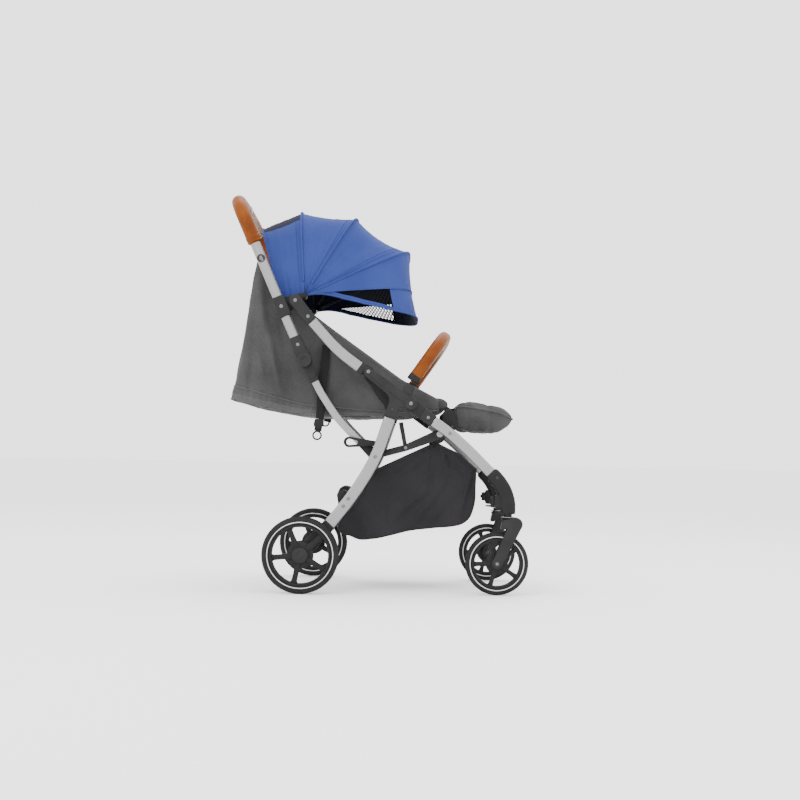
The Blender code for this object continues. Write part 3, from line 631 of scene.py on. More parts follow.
def makeWheel(end, tag):
    side, look = sides[tag], wheelLook[end]
    radius, half = look["axle"].z, look["width"] / 2
    centre = Vector((look["axle"].x, side * abs(look["axle"].y), radius))
    body = f"{end}_wheel_{tag}"
    steps = wheelLook["turnSteps"]
    bm = bmesh.new()
    turnedInto(bm, tyreProfile(radius, half), centre, steps=steps, closed=True)
    tyre = newMesh(f"tyre.{end}.{tag}", bm, "rubber", 28)
    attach(tyre, body)
    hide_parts(f"{end}_tyre_{tag}")
    bm = bmesh.new()
    for face in (-1, 1):
        at0 = face * half * 0.955
        ring = radius * wheelLook["ringShare"]
        wide = wheelLook["ringWidth"]
        profile = [(ring - wide / 2, at0), (ring - wide / 4, at0 + face * 0.0007),
                   (ring + wide / 4, at0 + face * 0.0007),
                   (ring + wide / 2, at0), (ring, at0 - face * 0.001)]
        turnedInto(bm, profile, centre, steps=steps, closed=True)
    stripe = newMesh(f"tyreStripe.{end}.{tag}", bm, "whiteRing")
    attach(stripe, body)
    bm = bmesh.new()
    outer = radius * wheelLook["rimShare"] - 0.0002
    inner = outer - 0.0055
    band = [(inner, -0.38 * half * 2), (outer - 0.001, -0.42 * half * 2), (outer, -0.36 * half * 2),
            (outer, 0.36 * half * 2),
            (outer - 0.001, 0.42 * half * 2), (inner, 0.38 * half * 2), (inner - 0.0012, 0.3 * half * 2),
            (inner - 0.0006, 0.0), (inner - 0.0012, -0.3 * half * 2)]
    turnedInto(bm, band, centre, steps=steps, closed=True)
    hub = radius * 0.235
    barrel = [(0.0048, -half * 0.92), (hub * 0.72, -half * 0.92), (hub * 0.8, -half * 0.86),
              (hub * 0.86, -half * 0.45),
              (hub, -half * 0.4), (hub, half * 0.4), (hub * 0.86, half * 0.45), (hub * 0.8, half * 0.86),
              (hub * 0.72, half * 0.92), (0.0048, half * 0.92)]
    turnedInto(bm, barrel, centre, steps=48, closed=True)
    collar = radius * 0.34
    web = [(hub * 0.9, -half * 0.12), (collar, -half * 0.12), (collar + 0.001, -half * 0.05),
           (collar + 0.001, half * 0.05),
           (collar, half * 0.12), (hub * 0.9, half * 0.12)]
    turnedInto(bm, web, centre, steps=48, closed=True)
    for k in range(wheelLook["spokes"]):
        turn = math.radians(look["firstSpoke"] + 360 / wheelLook["spokes"] * k)
        out = Vector((math.cos(turn), 0, math.sin(turn)))
        wide = [(0.0, 0.185), (0.25, 0.155), (0.55, 0.135), (0.85, 0.145), (1.0, 0.21)]
        line = [centre + out * (hub * 0.8 + (inner + 0.001 - hub * 0.8) * t) for t, _ in wide]
        rings = []
        for point, (t, share) in zip(line, wide):
            across = Vector((0, 1, 0)).cross(out)
            width, depth = radius * share, half * (0.95 - 0.2 * t)
            section = roundedBox(width, depth, min(width, depth) * 0.28, 3)
            rings.append([point + across * u + Vector((0, 1, 0)) * v for u, v in section])
        gridFaces(bm, rings, wrap=True)
    rim = newMesh(f"rim.{end}.{tag}", bm, "black", 40)
    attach(rim, body)
    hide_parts(f"{end}_rim_{tag}")
    bm = bmesh.new()
    cap = radius * look["cap"]
    dome = roundProfile([(cap, half * 0.7), (cap, half * 1.12), (cap * 0.93, half * 1.26),
                         (cap * 0.5, half * 1.34),
                         (0.0, half * 1.36)], 0.001)
    dome = [(cap * 0.9, half * 0.5)] + dome
    for face in (-1, 1) if end == "rear" else (1,):
        if end == "rear" and face != side:
            turnedInto(bm, [(r * 0.8, h * 0.9) for r, h in dome], centre, (0, face, 0), 48)
        elif end == "rear":
            turnedInto(bm, dome, centre, (0, side, 0), 48)
        else:
            for way in (-1, 1):
                turnedInto(bm, [(r, min(h, half * 0.98)) for r, h in dome], centre, (0, way, 0), 40)
    capPiece = newMesh(f"hubCap.{end}.{tag}", bm, "charcoal" if end == "rear" else "black")
    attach(capPiece, body)


def makeWheels():
    for end in ("rear", "front"):
        for tag in sides:
            makeWheel(end, tag)
    print("wheels done")


# Castors and the front of the frame

castorLook = {
    "armTop": (0.3465, 0.1745),
    "armTopRadius": 0.0160,
    "armFootRadius": 0.0125,
    "armLayers": ((0.0112, 0.0176), (-0.0176, -0.0112)),
    "crown": [(0.3090, 0.1600), (0.3140, 0.1850), (0.3440, 0.1900), (0.3590, 0.1800), (0.3570, 0.1590),
              (0.3330, 0.1640)],
}
kneeLook = {
    "path": [(0.2835, 0.2987), (0.3020, 0.2790), (0.3170, 0.2560), (0.3255, 0.2300), (0.3270, 0.2100),
             (0.3270, 0.1993)],
    "line": 0.2035,
    "width": 0.0360,
    "depth": 0.0250,
}
frontLegLook = {
    "path": [(0.1411, 0.4227), (0.1819, 0.3935), (0.2310, 0.3500), (0.2831, 0.2991)],
    "line": 0.2035,
    "width": 0.0260,
    "depth": 0.0180,
}


def makeCastor(tag):
    side, look = sides[tag], castorLook
    body = f"castor_{tag}"
    plane = abs(pivot["front_wheel_spin_r"].y)
    axle = (pivot["front_wheel_spin_r"].x, pivot["front_wheel_spin_r"].z)
    stem = pivot["castor_swivel_r"].x
    bm = bmesh.new()
    for inner, outer in look["armLayers"]:
        outline = linkOutline(look["armTop"], axle, look["armTopRadius"], look["armFootRadius"])
        plateInto(bm, outline, side, plane + inner, plane + outer, 0.0022)
    plateInto(bm, filleted(look["crown"], 0.006), side, plane - 0.0172, plane + 0.0172, 0.003)
    fork = newMesh(f"castorFork.{tag}", bm, "charcoal", 50)
    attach(fork, body)
    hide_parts(f"castor_fork_{tag}")
    bm = bmesh.new()
    centre = Vector((stem, side * plane, 0))
    stack = [(0.0, 0.183), (0.0155, 0.183), (0.0160, 0.1860), (0.0130, 0.1885), (0.0100, 0.1890),
             (0.0100, 0.1985), (0.0, 0.1985)]
    turnedInto(bm, [(r, z) for r, z in stack], centre, (0, 0, 1), 40)
    stemPiece = newMesh(f"castorStem.{tag}", bm, "black", 40)
    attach(stemPiece, body)
    bm = bmesh.new()
    washer = roundProfile([(0.0095, 0.1898), (0.0168, 0.1898), (0.0172, 0.1910), (0.0168, 0.1922),
                           (0.0095, 0.1922)], 0.0004)
    turnedInto(bm, washer, centre, (0, 0, 1), 40, closed=True)
    washerPiece = newMesh(f"castorWasher.{tag}", bm, "steel", 40)
    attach(washerPiece, body)
    screw(body, side, axle, plane + look["armLayers"][0][1] + 0.0002, 0.0062, "darkSteel")
    screw(body, side, axle, plane + look["armLayers"][0][1] + 0.0010, 0.0036, "steel")
    screw(body, -side, axle, -(plane - 0.0176) , 0.0055, "darkSteel")


def makeFrontFrame(tag):
    side = sides[tag]
    look = frontLegLook
    line = smoothLine([at(side, p, look["line"]) for p in look["path"]], 8)
    leg = sweep(f"frontLeg.{tag}", line, roundedBox(look["width"], look["depth"], 0.0055), "silver")
    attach(leg, "front_frame")
    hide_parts(f"front_leg_{tag}")
    look = kneeLook
    line = evenLine(smoothLine([at(side, p, look["line"]) for p in look["path"]], 8), 40)
    bm = bmesh.new()

    def shape(t):
        return 0.90 + 0.1 * min(1, t / 0.06) if t < 0.06 else 1.0 - 0.05 * max(0, (t - 0.9) / 0.1)

    sweepInto(bm, line, roundedBox(look["width"], look["depth"], 0.0075, 6), scaleAt=shape, edge=0.0015)
    heel = [(0.2960, 0.2120), (0.2925, 0.2190), (0.2925, 0.2400), (0.2975, 0.2470), (0.3150, 0.2440),
            (0.3200, 0.2120)]
    plateInto(bm, filleted(heel, 0.002), side, look["line"] - 0.0100, look["line"] + 0.0100, 0.0015)
    for low, high in ((0.2080, 0.2150), (0.2005, 0.2055)):
        tab = [(0.3120, low), (0.2985, low + 0.001), (0.2945, (low + high) / 2), (0.2985, high),
               (0.3120, high)]
        plateInto(bm, filleted(tab, 0.0012), side, look["line"] - 0.0080, look["line"] + 0.0080, 0.001)
    knee = newMesh(f"frontKnee.{tag}", bm, "black", 45)
    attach(knee, "front_frame")
    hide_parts(f"front_knee_{tag}")
    screw("front_frame", side, (0.2985, 0.2870), look["line"] + look["depth"] / 2 - 0.0006, 0.0040,
          "darkSteel")
    bm = bmesh.new()
    lock = [(0.2848, 0.2185), (0.2848, 0.2400), (0.2918, 0.2410), (0.2918, 0.2175)]
    plateInto(bm, filleted(lock, 0.0015), side, look["line"] - 0.0072, look["line"] + 0.0072, 0.001)
    tab = [(0.2850, 0.2255), (0.2812, 0.2262), (0.2812, 0.2330), (0.2850, 0.2338)]
    plateInto(bm, filleted(tab, 0.0012), side, look["line"] - 0.0050, look["line"] + 0.0050, 0.0008)
    lockPiece = newMesh(f"castorLock.{tag}", bm, "black", 45)
    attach(lockPiece, f"castor_lock_{tag}")
    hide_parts(f"castor_lock_{tag}")
    bm = bmesh.new()
    hub = (pivot["front_fold"].x, pivot["front_fold"].z)
    plateInto(bm, linkOutline(hub, (0.1250, 0.4345), 0.0165, 0.0145), side, 0.1990, 0.2130, 0.0016)
    sleeve = barOutline((0.1120, 0.4430), (0.1408, 0.4229), 0.0292, 0.0292, 0.003)
    plateInto(bm, sleeve, side, 0.1925, 0.2146, 0.0022)
    knuckle = newMesh(f"frontKnuckle.{tag}", bm, "charcoal", 45)
    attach(knuckle, "front_frame")
    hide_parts(f"front_knuckle_{tag}")
    screw("front_frame", side, (0.1275, 0.4318), 0.2146, 0.0042, "steel")
    screw("front_frame", side, (0.1819, 0.3938), 0.2124, 0.0042, "steel")


def makeFrontCrossbar():
    low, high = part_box("front_crossbar")
    middle = (low + high) / 2
    line = evenLine([Vector((middle.x, low.y, middle.z)), Vector((middle.x, high.y, middle.z))], 12)
    bar = sweep("frontCrossbar", line, circle(0.0080, 24), "silver", across=(0, 0, 1))
    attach(bar, "front_frame")
    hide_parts("front_crossbar")


def makeFront():
    for tag in sides:
        makeCastor(tag)
        makeFrontFrame(tag)
    makeFrontCrossbar()
    print("castors and front legs done")


# Hub brackets, rear legs, axle housings, crossbar, brake and latch

hubLook = {
    "outline": [
        (-0.0340, 0.5360, 0.010), (-0.0270, 0.5560, 0.010), (0.0020, 0.5395, 0.020), (0.0740, 0.4890, 0.010),
        (0.1000, 0.4680, 0.014), (0.1010, 0.4560, 0.012), (0.0850, 0.4470, 0.012), (0.0700, 0.4560, 0.012),
        (0.0560, 0.4560, 0.014), (0.0478, 0.4245, 0.002), (0.0198, 0.4335, 0.002), (0.0330, 0.4700, 0.012),
        (0.0290, 0.4850, 0.010), (-0.0080, 0.5150, 0.016),
    ],
    "layer": (0.2135, 0.2345),
    "rib": [(-0.0235, 0.5480), (0.0040, 0.5335), (0.0700, 0.4875), (0.0920, 0.4690), (0.0900, 0.4580),
            (0.0620, 0.4700),
            (0.0130, 0.5060), (-0.0190, 0.5310)],
    "mount": [(0.0580, 0.4860), (0.0730, 0.5130), (0.0760, 0.5170), (0.0950, 0.5040), (0.0930, 0.4990),
              (0.0830, 0.4800)],
}
rearLegLook = {
    "path": [(0.0338, 0.4288), (0.0014, 0.3352), (-0.0333, 0.2715), (-0.0686, 0.2193), (-0.1130, 0.1625)],
    "lines": [0.2225, 0.22475, 0.226625, 0.2285, 0.2300],
    "width": 0.0280,
    "depth": 0.0150,
}


def makeHub(tag):
    side, look = sides[tag], hubLook
    inner, outer = look["layer"]
    bm = bmesh.new()
    plateInto(bm, filleted(look["outline"], 0.008, 6), side, inner, outer - 0.0012, 0.0022)
    plateInto(bm, filleted(look["rib"], 0.006, 5), side, outer - 0.004, outer + 0.0003, 0.0012)
    plateInto(bm, filleted(look["mount"], 0.004, 5), side, inner + 0.001, 0.2300, 0.0015)
    boss = (pivot["front_fold"].x, pivot["front_fold"].z)
    turnedInto(bm, roundProfile([(0.0, -0.003), (0.0152, -0.003), (0.0152, 0.0008), (0.0135, 0.0018),
                                 (0.0, 0.0018)], 0.0008),
               at(side, boss, outer), (0, side, 0), 48)
    hub = newMesh(f"hubBracket.{tag}", bm, "charcoal", 45)
    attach(hub, "chassis")
    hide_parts(f"hub_bracket_{tag}")
    for point, radius in ((pivot["fold"], 0.0046), (pivot["front_fold"], 0.0046)):
        screw("chassis", side, (point.x, point.z), outer + (0.0018 if radius else 0), radius, "steel")
    screw("chassis", side, (0.0400, 0.4500), outer - 0.0014, 0.0030, "darkSteel")


def makeRearLeg(tag):
    side, look = sides[tag], rearLegLook
    points = [at(side, p, y) for p, y in zip(look["path"], look["lines"])]
    line = smoothLine(points, 10)
    leg = sweep(f"rearLeg.{tag}", line, roundedBox(look["width"], look["depth"], 0.0048), "silver")
    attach(leg, "chassis")
    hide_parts(f"rear_leg_{tag}")
    for point, y in (((0.0000, 0.3340), 0.2250), ((-0.0632, 0.2312), 0.2282), ((-0.0752, 0.2131), 0.2287)):
        screw("chassis", side, point, y + look["depth"] / 2 - 0.0002, 0.0046, "steel")
    axle = (pivot["rear_wheel_spin_r"].x, pivot["rear_wheel_spin_r"].z)
    foot = look["path"][-1]
    bm = bmesh.new()
    sleeve = barOutline(toward(foot, axle, -0.10), toward(foot, axle, 0.70), 0.0315, 0.0335, 0.004)
    plateInto(bm, sleeve, side, 0.2212, 0.2388, 0.0025)
    rib = barOutline(toward(foot, axle, 0.05), toward(foot, axle, 0.62), 0.0160, 0.0190, 0.003)
    plateInto(bm, rib, side, 0.2300, 0.2402, 0.0015)
    plateInto(bm, linkOutline(toward(foot, axle, 0.60), axle, 0.0155, 0.0190), side, 0.2225, 0.2395, 0.0025)
    turnedInto(bm, roundProfile([(0.0, -0.006), (0.0095, -0.006), (0.0095, 0.002), (0.0, 0.002)], 0.001),
               at(side, axle, 0.2225), (0, side, 0), 32)
    housing = newMesh(f"axleHousing.{tag}", bm, "black", 45)
    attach(housing, "chassis")
    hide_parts(f"axle_housing_{tag}")


def makeRearCrossbar():
    middle = pivot["brake_press"]
    bm = bmesh.new()
    profile = roundProfile([(0.0, -0.2150), (0.0100, -0.2150), (0.0100, 0.2150), (0.0, 0.2150)], 0.001)
    turnedInto(bm, profile, middle, steps=40)
    for side in sides.values():
        outline = linkOutline((middle.x, middle.z), (-0.0760, 0.2110), 0.0130, 0.0110)
        plateInto(bm, outline, side, 0.2120, 0.2184, 0.0012)
        turnedInto(bm, roundProfile([(0.0, 0.195), (0.0118, 0.195), (0.0135, 0.2125), (0.0, 0.2125)], 0.001),
                   middle, (0, side, 0), 32)
    bar = newMesh("rearCrossbar", bm, "black", 40)
    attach(bar, "chassis")
    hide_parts("rear_crossbar")
    bm = bmesh.new()
    collar = roundProfile([(0.0105, -0.040), (0.0145, -0.040), (0.0145, 0.040), (0.0105, 0.040)], 0.001)
    turnedInto(bm, collar, middle, steps=40, closed=True)
    def around(angle, radius):
        turn = math.radians(angle)
        return (middle.x + radius * math.cos(turn), middle.z + radius * math.sin(turn))

    tread = [around(angle, 0.0188) for angle in range(32, 176, 6)]
    tread += [around(angle, 0.0135) for angle in range(174, 30, -6)]
    plateInto(bm, [Vector(p) for p in tread], 1, -0.0400, 0.0400, 0.0012)
    for angle in range(44, 166, 12):
        rib = [around(angle - 2, 0.0180), around(angle + 2, 0.0180), around(angle + 2, 0.0195),
               around(angle - 2, 0.0195)]
        plateInto(bm, filleted(rib, 0.0003, 2), 1, -0.0360, 0.0360, 0.0004)
    pedal = newMesh("brakePedal", bm, "black", 40)
    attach(pedal, "brake")
    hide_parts("brake_pedal")


def makeLatch():
    side = sides["r"]
    anchor = (pivot["latch_swing"].x, pivot["latch_swing"].z)
    loop = (-0.0653, 0.3691)
    outer = linkOutline(loop, anchor, 0.0130, 0.0060, 20)
    hole = linkOutline(toward(loop, anchor, 0.02), toward(loop, anchor, 0.25), 0.0075, 0.0050, 20)
    bm = bmesh.new()
    low, high, soft = 0.2030, 0.2080, 0.0014
    rows = []
    for outline, sign in ((outer, 1), (hole, -1)):
        for k in range(7):
            turn = math.pi * k / 6
            shift = soft * (1 - math.sin(turn))
            y = (low + high) / 2 - math.cos(turn) * (high - low) / 2
            rows.append([at(side, p, y) for p in inset(outline, shift * sign)])
        if sign == 1:
            outerRows, rows = rows, []
    holeRows = rows
    for half in (outerRows, holeRows):
        gridFaces(bm, half, wrap=True)
    for end in (0, -1):
        ring = [bm.verts.new(p) for p in outerRows[end]]
        core = [bm.verts.new(p) for p in holeRows[end]]
        edges = [bm.edges.new((loopVerts[k], loopVerts[(k + 1) % len(loopVerts)]))
                 for loopVerts in (ring, core) for k in range(len(loopVerts))]
        bmesh.ops.triangle_fill(bm, edges=edges, use_beauty=True)
    bmesh.ops.remove_doubles(bm, verts=bm.verts[:], dist=1e-6)
    latch = newMesh("foldLatch", bm, "black", 40)
    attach(latch, "latch")
    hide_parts("fold_latch")
    screw("latch", -side, anchor, -0.2030, 0.0050, "darkSteel")


def makeChassis():
    for tag in sides:
        makeHub(tag)
        makeRearLeg(tag)
    makeRearCrossbar()
    makeLatch()
    print("hubs, rear legs and brake done")


# Push handle, side tubes, hinges, lower tubes and braces

handleLook = {
    "path": [(-0.2016, 0.6220, 0.2200), (-0.2485, 0.7285, 0.2200), (-0.3006, 0.8494, 0.2200),
             (-0.3300, 0.9160, 0.2165),
             (-0.3425, 0.9445, 0.1960), (-0.3495, 0.9600, 0.1500), (-0.3530, 0.9680, 0.0)],
    "tube": 0.0250,
    "grip": 0.0176,
    "gripStart": 0.8484,
    "stitchGap": 0.0062,
}
sideLook = {
    "path": [(-0.1593, 0.6614), (-0.1271, 0.6255), (-0.1047, 0.6019), (-0.0783, 0.5788), (-0.0342, 0.5463)],
    "line": 0.2200,
    "width": 0.0260,
    "depth": 0.0190,
}
lowerLook = {
    "path": [(-0.1519, 0.5166), (-0.1328, 0.4827), (-0.0944, 0.4276), (-0.0505, 0.3813), (-0.0132, 0.3448)],
    "line": 0.1860,
    "width": 0.0190,
    "depth": 0.0150,
}


def handleLine(look, steps=14):
    half = [Vector((x, y, z)) for x, z, y in look["path"]]
    mirrored = [Vector((p.x, -p.y, p.z)) for p in half[:-1]]
    return smoothLine(mirrored + half[::-1], steps)


def gripLine(look):
    line = handleLine(look, 16)
    return evenLine([p for p in line if p.z > look["gripStart"]], 200)


def makeHandle():
    look = handleLook
    line = handleLine(look)
    lower = [[p for p in line if p.z < look["gripStart"] + 0.02 and p.y * side > 0] for side in (-1, 1)]
    bm = bmesh.new()
    sweepInto(bm, lower[0], circle(look["tube"] / 2, 36))
    sweepInto(bm, lower[1], circle(look["tube"] / 2, 36))
    tube = newMesh("handleTube", bm, "silver")
    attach(tube, "handle")
    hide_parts("handle_tube")
    for side in sides.values():
        bolts = bmesh.new()
        cup = [(0.0, 0.004), (0.0098, 0.004), (0.0104, 0.0128), (0.0088, 0.0142), (0.0066, 0.0138),
               (0.0060, 0.0124), (0.0, 0.0124)]
        turnedInto(bolts, cup, at(side, (-0.2851, 0.8115), look["path"][2][2]), (0, side, 0), 40)
        bolt = newMesh(f"handleBolt.{'l' if side > 0 else 'r'}", bolts, "darkSteel", 40)
        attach(bolt, "handle")
        screw("handle", side, (-0.2851, 0.8115), look["path"][2][2] + 0.0126, 0.0048, "steel")
    line = gripLine(look)
    bm = bmesh.new()

    def swell(t):
        edge = min(t, 1 - t)
        creases = 0.004 * math.sin(t * 91) * math.sin(t * 37 + 1)
        return (0.955 if edge < 0.004 else 1.0 + 0.02
                * math.exp(-((edge - 0.012) / 0.008) ** 2)) + creases * (edge > 0.03)

    sweepInto(bm, line, circle(look["grip"], 40), scaleAt=swell, edge=0.003)
    for end in (line[3:7], line[-7:-3]):
        sweepInto(bm, end, circle(look["grip"] + 0.0007, 40), edge=0.0008)
    leather = newMesh("gripLeather", bm, "leather", 60)
    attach(leather, "handle")
    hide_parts("handle_grip")
    bm = bmesh.new()
    length = sum((b - a).length for a, b in zip(line, line[1:]))
    count = int(length / look["stitchGap"])
    seam = evenLine(line, count)
    for k in range(1, count - 1):
        here, ahead = seam[k], seam[k + 1]
        run = (ahead - here).normalized()
        under = Vector((0.75, 0, -0.66))
        under = (under - under.dot(run) * run).normalized()
        cross = run.cross(under)
        for way in (-1, 1):
            start = here + under * (look["grip"] * 0.965) + cross * 0.0042 * way
            end = here.lerp(ahead, 0.6) + under * (look["grip"] + 0.0004) + cross * 0.0002 * way
            sweepInto(bm, [start, start.lerp(end, 0.5) + under * 0.0007, end], circle(0.0008, 6), edge=0.0002)
    stitches = newMesh("gripStitches", bm, "thread", 60)
    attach(stitches, "handle")
    bm = bmesh.new()
    low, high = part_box("fold_button")
    middle = (low + high) / 2
    size = high - low
    rows = []
    section = roundedBox(size.z, size.y, 0.004, 5)
    for k, share in ((0, 0.93), (1, 1.0), (2, 1.0), (3, 0.97), (4, 0.88)):
        x = low.x + size.x * (0, 0.12, 0.7, 0.92, 1.0)[k]
        rows.append([Vector((x, middle.y + v * share, middle.z + u * share)) for u, v in section])
    verts = gridFaces(bm, rows, wrap=True)
    for end in (0, -1):
        bm.faces.new(verts[end])
    button = newMesh("foldButton", bm, "silver", 50)
    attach(button, "fold_button")
    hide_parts("fold_button")


def makeHandleSide(tag):
    side = sides[tag]
    foot = (pivot["handle_fold"].x, pivot["handle_fold"].z)
    bm = bmesh.new()
    plateInto(bm, barOutline((-0.2445, 0.7192), (-0.2235, 0.6715), 0.0312, 0.0312, 0.004), side, 0.2038,
              0.2362, 0.0032)
    plateInto(bm, linkOutline((-0.2340, 0.6955), foot, 0.0150, 0.0135), side, 0.1990, 0.2086, 0.0014)
    bracket = newMesh(f"handleBracket.{tag}", bm, "charcoal", 45)
    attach(bracket, "handle")
    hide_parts(f"handle_bracket_{tag}")
    screw("handle", side, (-0.2340, 0.6955), 0.2360, 0.0046, "steel")
    lock = (-0.1760, 0.5664)
    bm = bmesh.new()
    plateInto(bm, linkOutline((-0.1900, 0.5970), lock, 0.0145, 0.0172), side, 0.2010, 0.2325, 0.0028)
    plateInto(bm, barOutline((-0.2016, 0.6225), (-0.1880, 0.5930), 0.0275, 0.0300, 0.004), side, 0.2075,
              0.2322, 0.0026)
    ring = [(0.0168, -0.004), (0.0168, 0.0012), (0.0140, 0.0028), (0.0095, 0.0022), (0.0062, 0.0004),
            (0.0, 0.0)]
    turnedInto(bm, ring, at(side, lock, 0.2325), (0, side, 0), 48)
    upper = newMesh(f"upperHinge.{tag}", bm, "charcoal", 45)
    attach(upper, "handle")
    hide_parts(f"upper_hinge_{tag}")
    screw("handle", side, (-0.1925, 0.6035), 0.2322, 0.0042, "steel")
    bm = bmesh.new()
    plateInto(bm, linkOutline(lock, (-0.1600, 0.5330), 0.0150, 0.0110), side, 0.1860, 0.2003, 0.0016)
    plateInto(bm, barOutline((-0.1640, 0.5420), (-0.1520, 0.5168), 0.0222, 0.0212, 0.003), side, 0.1783,
              0.1982, 0.0020)
    low = newMesh(f"lowerHinge.{tag}", bm, "charcoal", 45)
    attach(low, "lower_frame")
    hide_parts(f"lower_hinge_{tag}")
    screw("lower_frame", side, (-0.1585, 0.5285), 0.1982, 0.0034, "steel")
    look = lowerLook
    line = smoothLine([at(side, p, look["line"]) for p in look["path"]], 8)
    bm = bmesh.new()
    sweepInto(bm, line, roundedBox(look["width"], look["depth"], 0.0045))
    tube = newMesh(f"lowerTube.{tag}", bm, "silver")
    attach(tube, "lower_frame")
    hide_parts(f"lower_tube_{tag}")
    bm = bmesh.new()
    foot = (pivot["lower_fold"].x, pivot["lower_fold"].z)
    plateInto(bm, linkOutline((-0.0300, 0.3615), foot, 0.0098, 0.0112), side, 0.1772, 0.1950, 0.0016)
    lug = newMesh(f"lowerLug.{tag}", bm, "black", 45)
    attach(lug, "lower_frame")


def makeSide(tag):
    side, look = sides[tag], sideLook
    line = smoothLine([at(side, p, look["line"]) for p in look["path"]], 8)
    bm = bmesh.new()
    sweepInto(bm, line, roundedBox(look["width"], look["depth"], 0.0058))
    tube = newMesh(f"sideTube.{tag}", bm, "silver")
    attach(tube, "side_frame")
    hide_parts(f"side_tube_{tag}")
    bm = bmesh.new()
    plateInto(bm, linkOutline((-0.0560, 0.5625), (pivot["fold"].x, pivot["fold"].z), 0.0110, 0.0140), side,
              0.1985, 0.2128,
              0.0014)
    plateInto(bm, barOutline((-0.0420, 0.5520), (-0.0300, 0.5432), 0.0285, 0.0270, 0.003), side, 0.2100,
              0.2306, 0.0018)
    lug = newMesh(f"sideLug.{tag}", bm, "charcoal", 45)
    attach(lug, "side_frame")
    bm = bmesh.new()
    top = (pivot["handle_fold"].x, pivot["handle_fold"].z)
    plateInto(bm, linkOutline(top, (-0.1720, 0.6760), 0.0155, 0.0140), side, 0.2120, 0.2342, 0.0028)
    plateInto(bm, barOutline((-0.1840, 0.6900), (-0.1590, 0.6610), 0.0290, 0.0285, 0.004), side, 0.2092,
              0.2338, 0.0028)
    turnedInto(bm, roundProfile([(0.0, -0.002), (0.0118, -0.002), (0.0118, 0.0010), (0.0, 0.0010)], 0.0008),
               at(side, top, 0.2342), (0, side, 0), 40)
    housing = newMesh(f"sideHousing.{tag}", bm, "charcoal", 45)
    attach(housing, "side_frame")
    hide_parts(f"side_housing_{tag}")
    screw("side_frame", side, top, 0.2350, 0.0044, "steel")
    screw("side_frame", side, (-0.1690, 0.6722), 0.2340, 0.0042, "steel")


def makeBraces():
    middle = (0.0737, 0.3572)
    rear = (pivot["brace_rear_fold"].x, pivot["brace_rear_fold"].z)
    front = (pivot["brace_front_fold"].x, pivot["brace_front_fold"].z)
    for name, body, start, end, radii, layer in (
            ("braceRear", "brace_rear", rear, middle, (0.0080, 0.0080), (0.1668, 0.1718)),
            ("braceFront", "brace_front", middle, front, (0.0080, 0.0125), (0.1727, 0.1775))):
        for tag, side in sides.items():
            bm = bmesh.new()
            plateInto(bm, linkOutline(start, end, *radii), side, *layer, 0.0008)
            plateInto(bm, barOutline(toward(start, end, 0.2), toward(start, end, 0.8), 0.0050, 0.0050,
                                     0.001), side,
                      layer[0] - 0.0004, layer[1] + 0.0004, 0.0005)
            if name == "braceRear":
                pin = roundProfile([(0.0, 0.1700), (0.0050, 0.1700), (0.0050, 0.2155), (0.0, 0.2155)], 0.0006)
                turnedInto(bm, pin, at(side, rear, 0), (0, side, 0), 24)
            else:
                turnedInto(bm, [(0.0098, 0.1700), (0.0122, 0.1706), (0.0122, 0.1796), (0.0098, 0.1802)],
                           at(side, front, 0), (0, side, 0), 32, closed=True)
            brace = newMesh(f"{name}.{tag}", bm, "blackSteel", 45)
            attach(brace, body)
            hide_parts(f"{body}_{tag}")
            if name == "braceFront":
                screw(body, side, middle, 0.1775, 0.0042, "steel")


bumperLook = {
    "foot": (0.0890, 0.5224),
    "tip": (0.1680, 0.6377),
    "halfWidth": 0.2150,
    "stations": [(0, 1), (0.35, 1), (0.62, 0.97), (0.84, 0.84), (0.96, 0.62), (1, 0.35), (1, 0)],
    "width": 0.0300,
    "depth": 0.0280,
    "stitchGap": 0.0050,
}


def bumperLine():
    look = bumperLook
    half = []
    for along, out in look["stations"]:
        point = toward(look["foot"], look["tip"], along)
        half.append(Vector((point[0], out * look["halfWidth"], point[1])))
    mirrored = [Vector((p.x, -p.y, p.z)) for p in half[:-1]]
    return smoothLine(mirrored + half[::-1], 18)


def makeBumper():
    look = bumperLook
    line = evenLine(bumperLine(), 200)
    bm = bmesh.new()

    def swell(t):
        edge = min(t, 1 - t)
        creases = 0.006 * math.sin(t * 83) * math.sin(t * 31 + 2)
        return (0.94 if edge < 0.004 else 1.0) + creases * (edge > 0.03)

    section = roundedBox(look["width"], look["depth"], 0.0125, 8)
    sweepInto(bm, line, section, scaleAt=swell, edge=0.003)
    cover = newMesh("bumperLeather", bm, "leather", 60)
    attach(cover, "bumper")
    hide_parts("bumper_bar")
    bm = bmesh.new()
    length = sum((b - a).length for a, b in zip(line, line[1:]))
    count = int(length / look["stitchGap"])
    seam = evenLine(line, count)
    for k in range(4, count - 4):
        here, ahead = seam[k], seam[k + 1]
        run = (ahead - here).normalized()
        under = Vector((0.825, 0, -0.565))
        under = (under - under.dot(run) * run)
        if under.length < 0.2:
            continue
        under.normalize()
        cross = run.cross(under)
        for way in (-1, 1):
            start = here + under * (look["width"] / 2 - 0.0006) + cross * 0.0034 * way
            end = here.lerp(ahead, 0.55) + under * (look["width"] / 2 + 0.0006) + cross * 0.0003 * way
            sweepInto(bm, [start, start.lerp(end, 0.5) + under * 0.0004, end], circle(0.0006, 6), edge=0.0002)
    stitches = newMesh("bumperStitches", bm, "thread", 60)
    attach(stitches, "bumper")
    bm = bmesh.new()
    for side in sides.values():
        foot, tip = look["foot"], look["tip"]
        line = [at(side, toward(foot, tip, t), look["halfWidth"]) for t in (-0.02, 0.04, 0.10)]
        sweepInto(bm, line, roundedBox(look["width"] + 0.0012, look["depth"] + 0.0012, 0.0128, 8),
                  edge=0.0012)
    clips = newMesh("bumperClips", bm, "black", 50)
    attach(clips, "bumper")


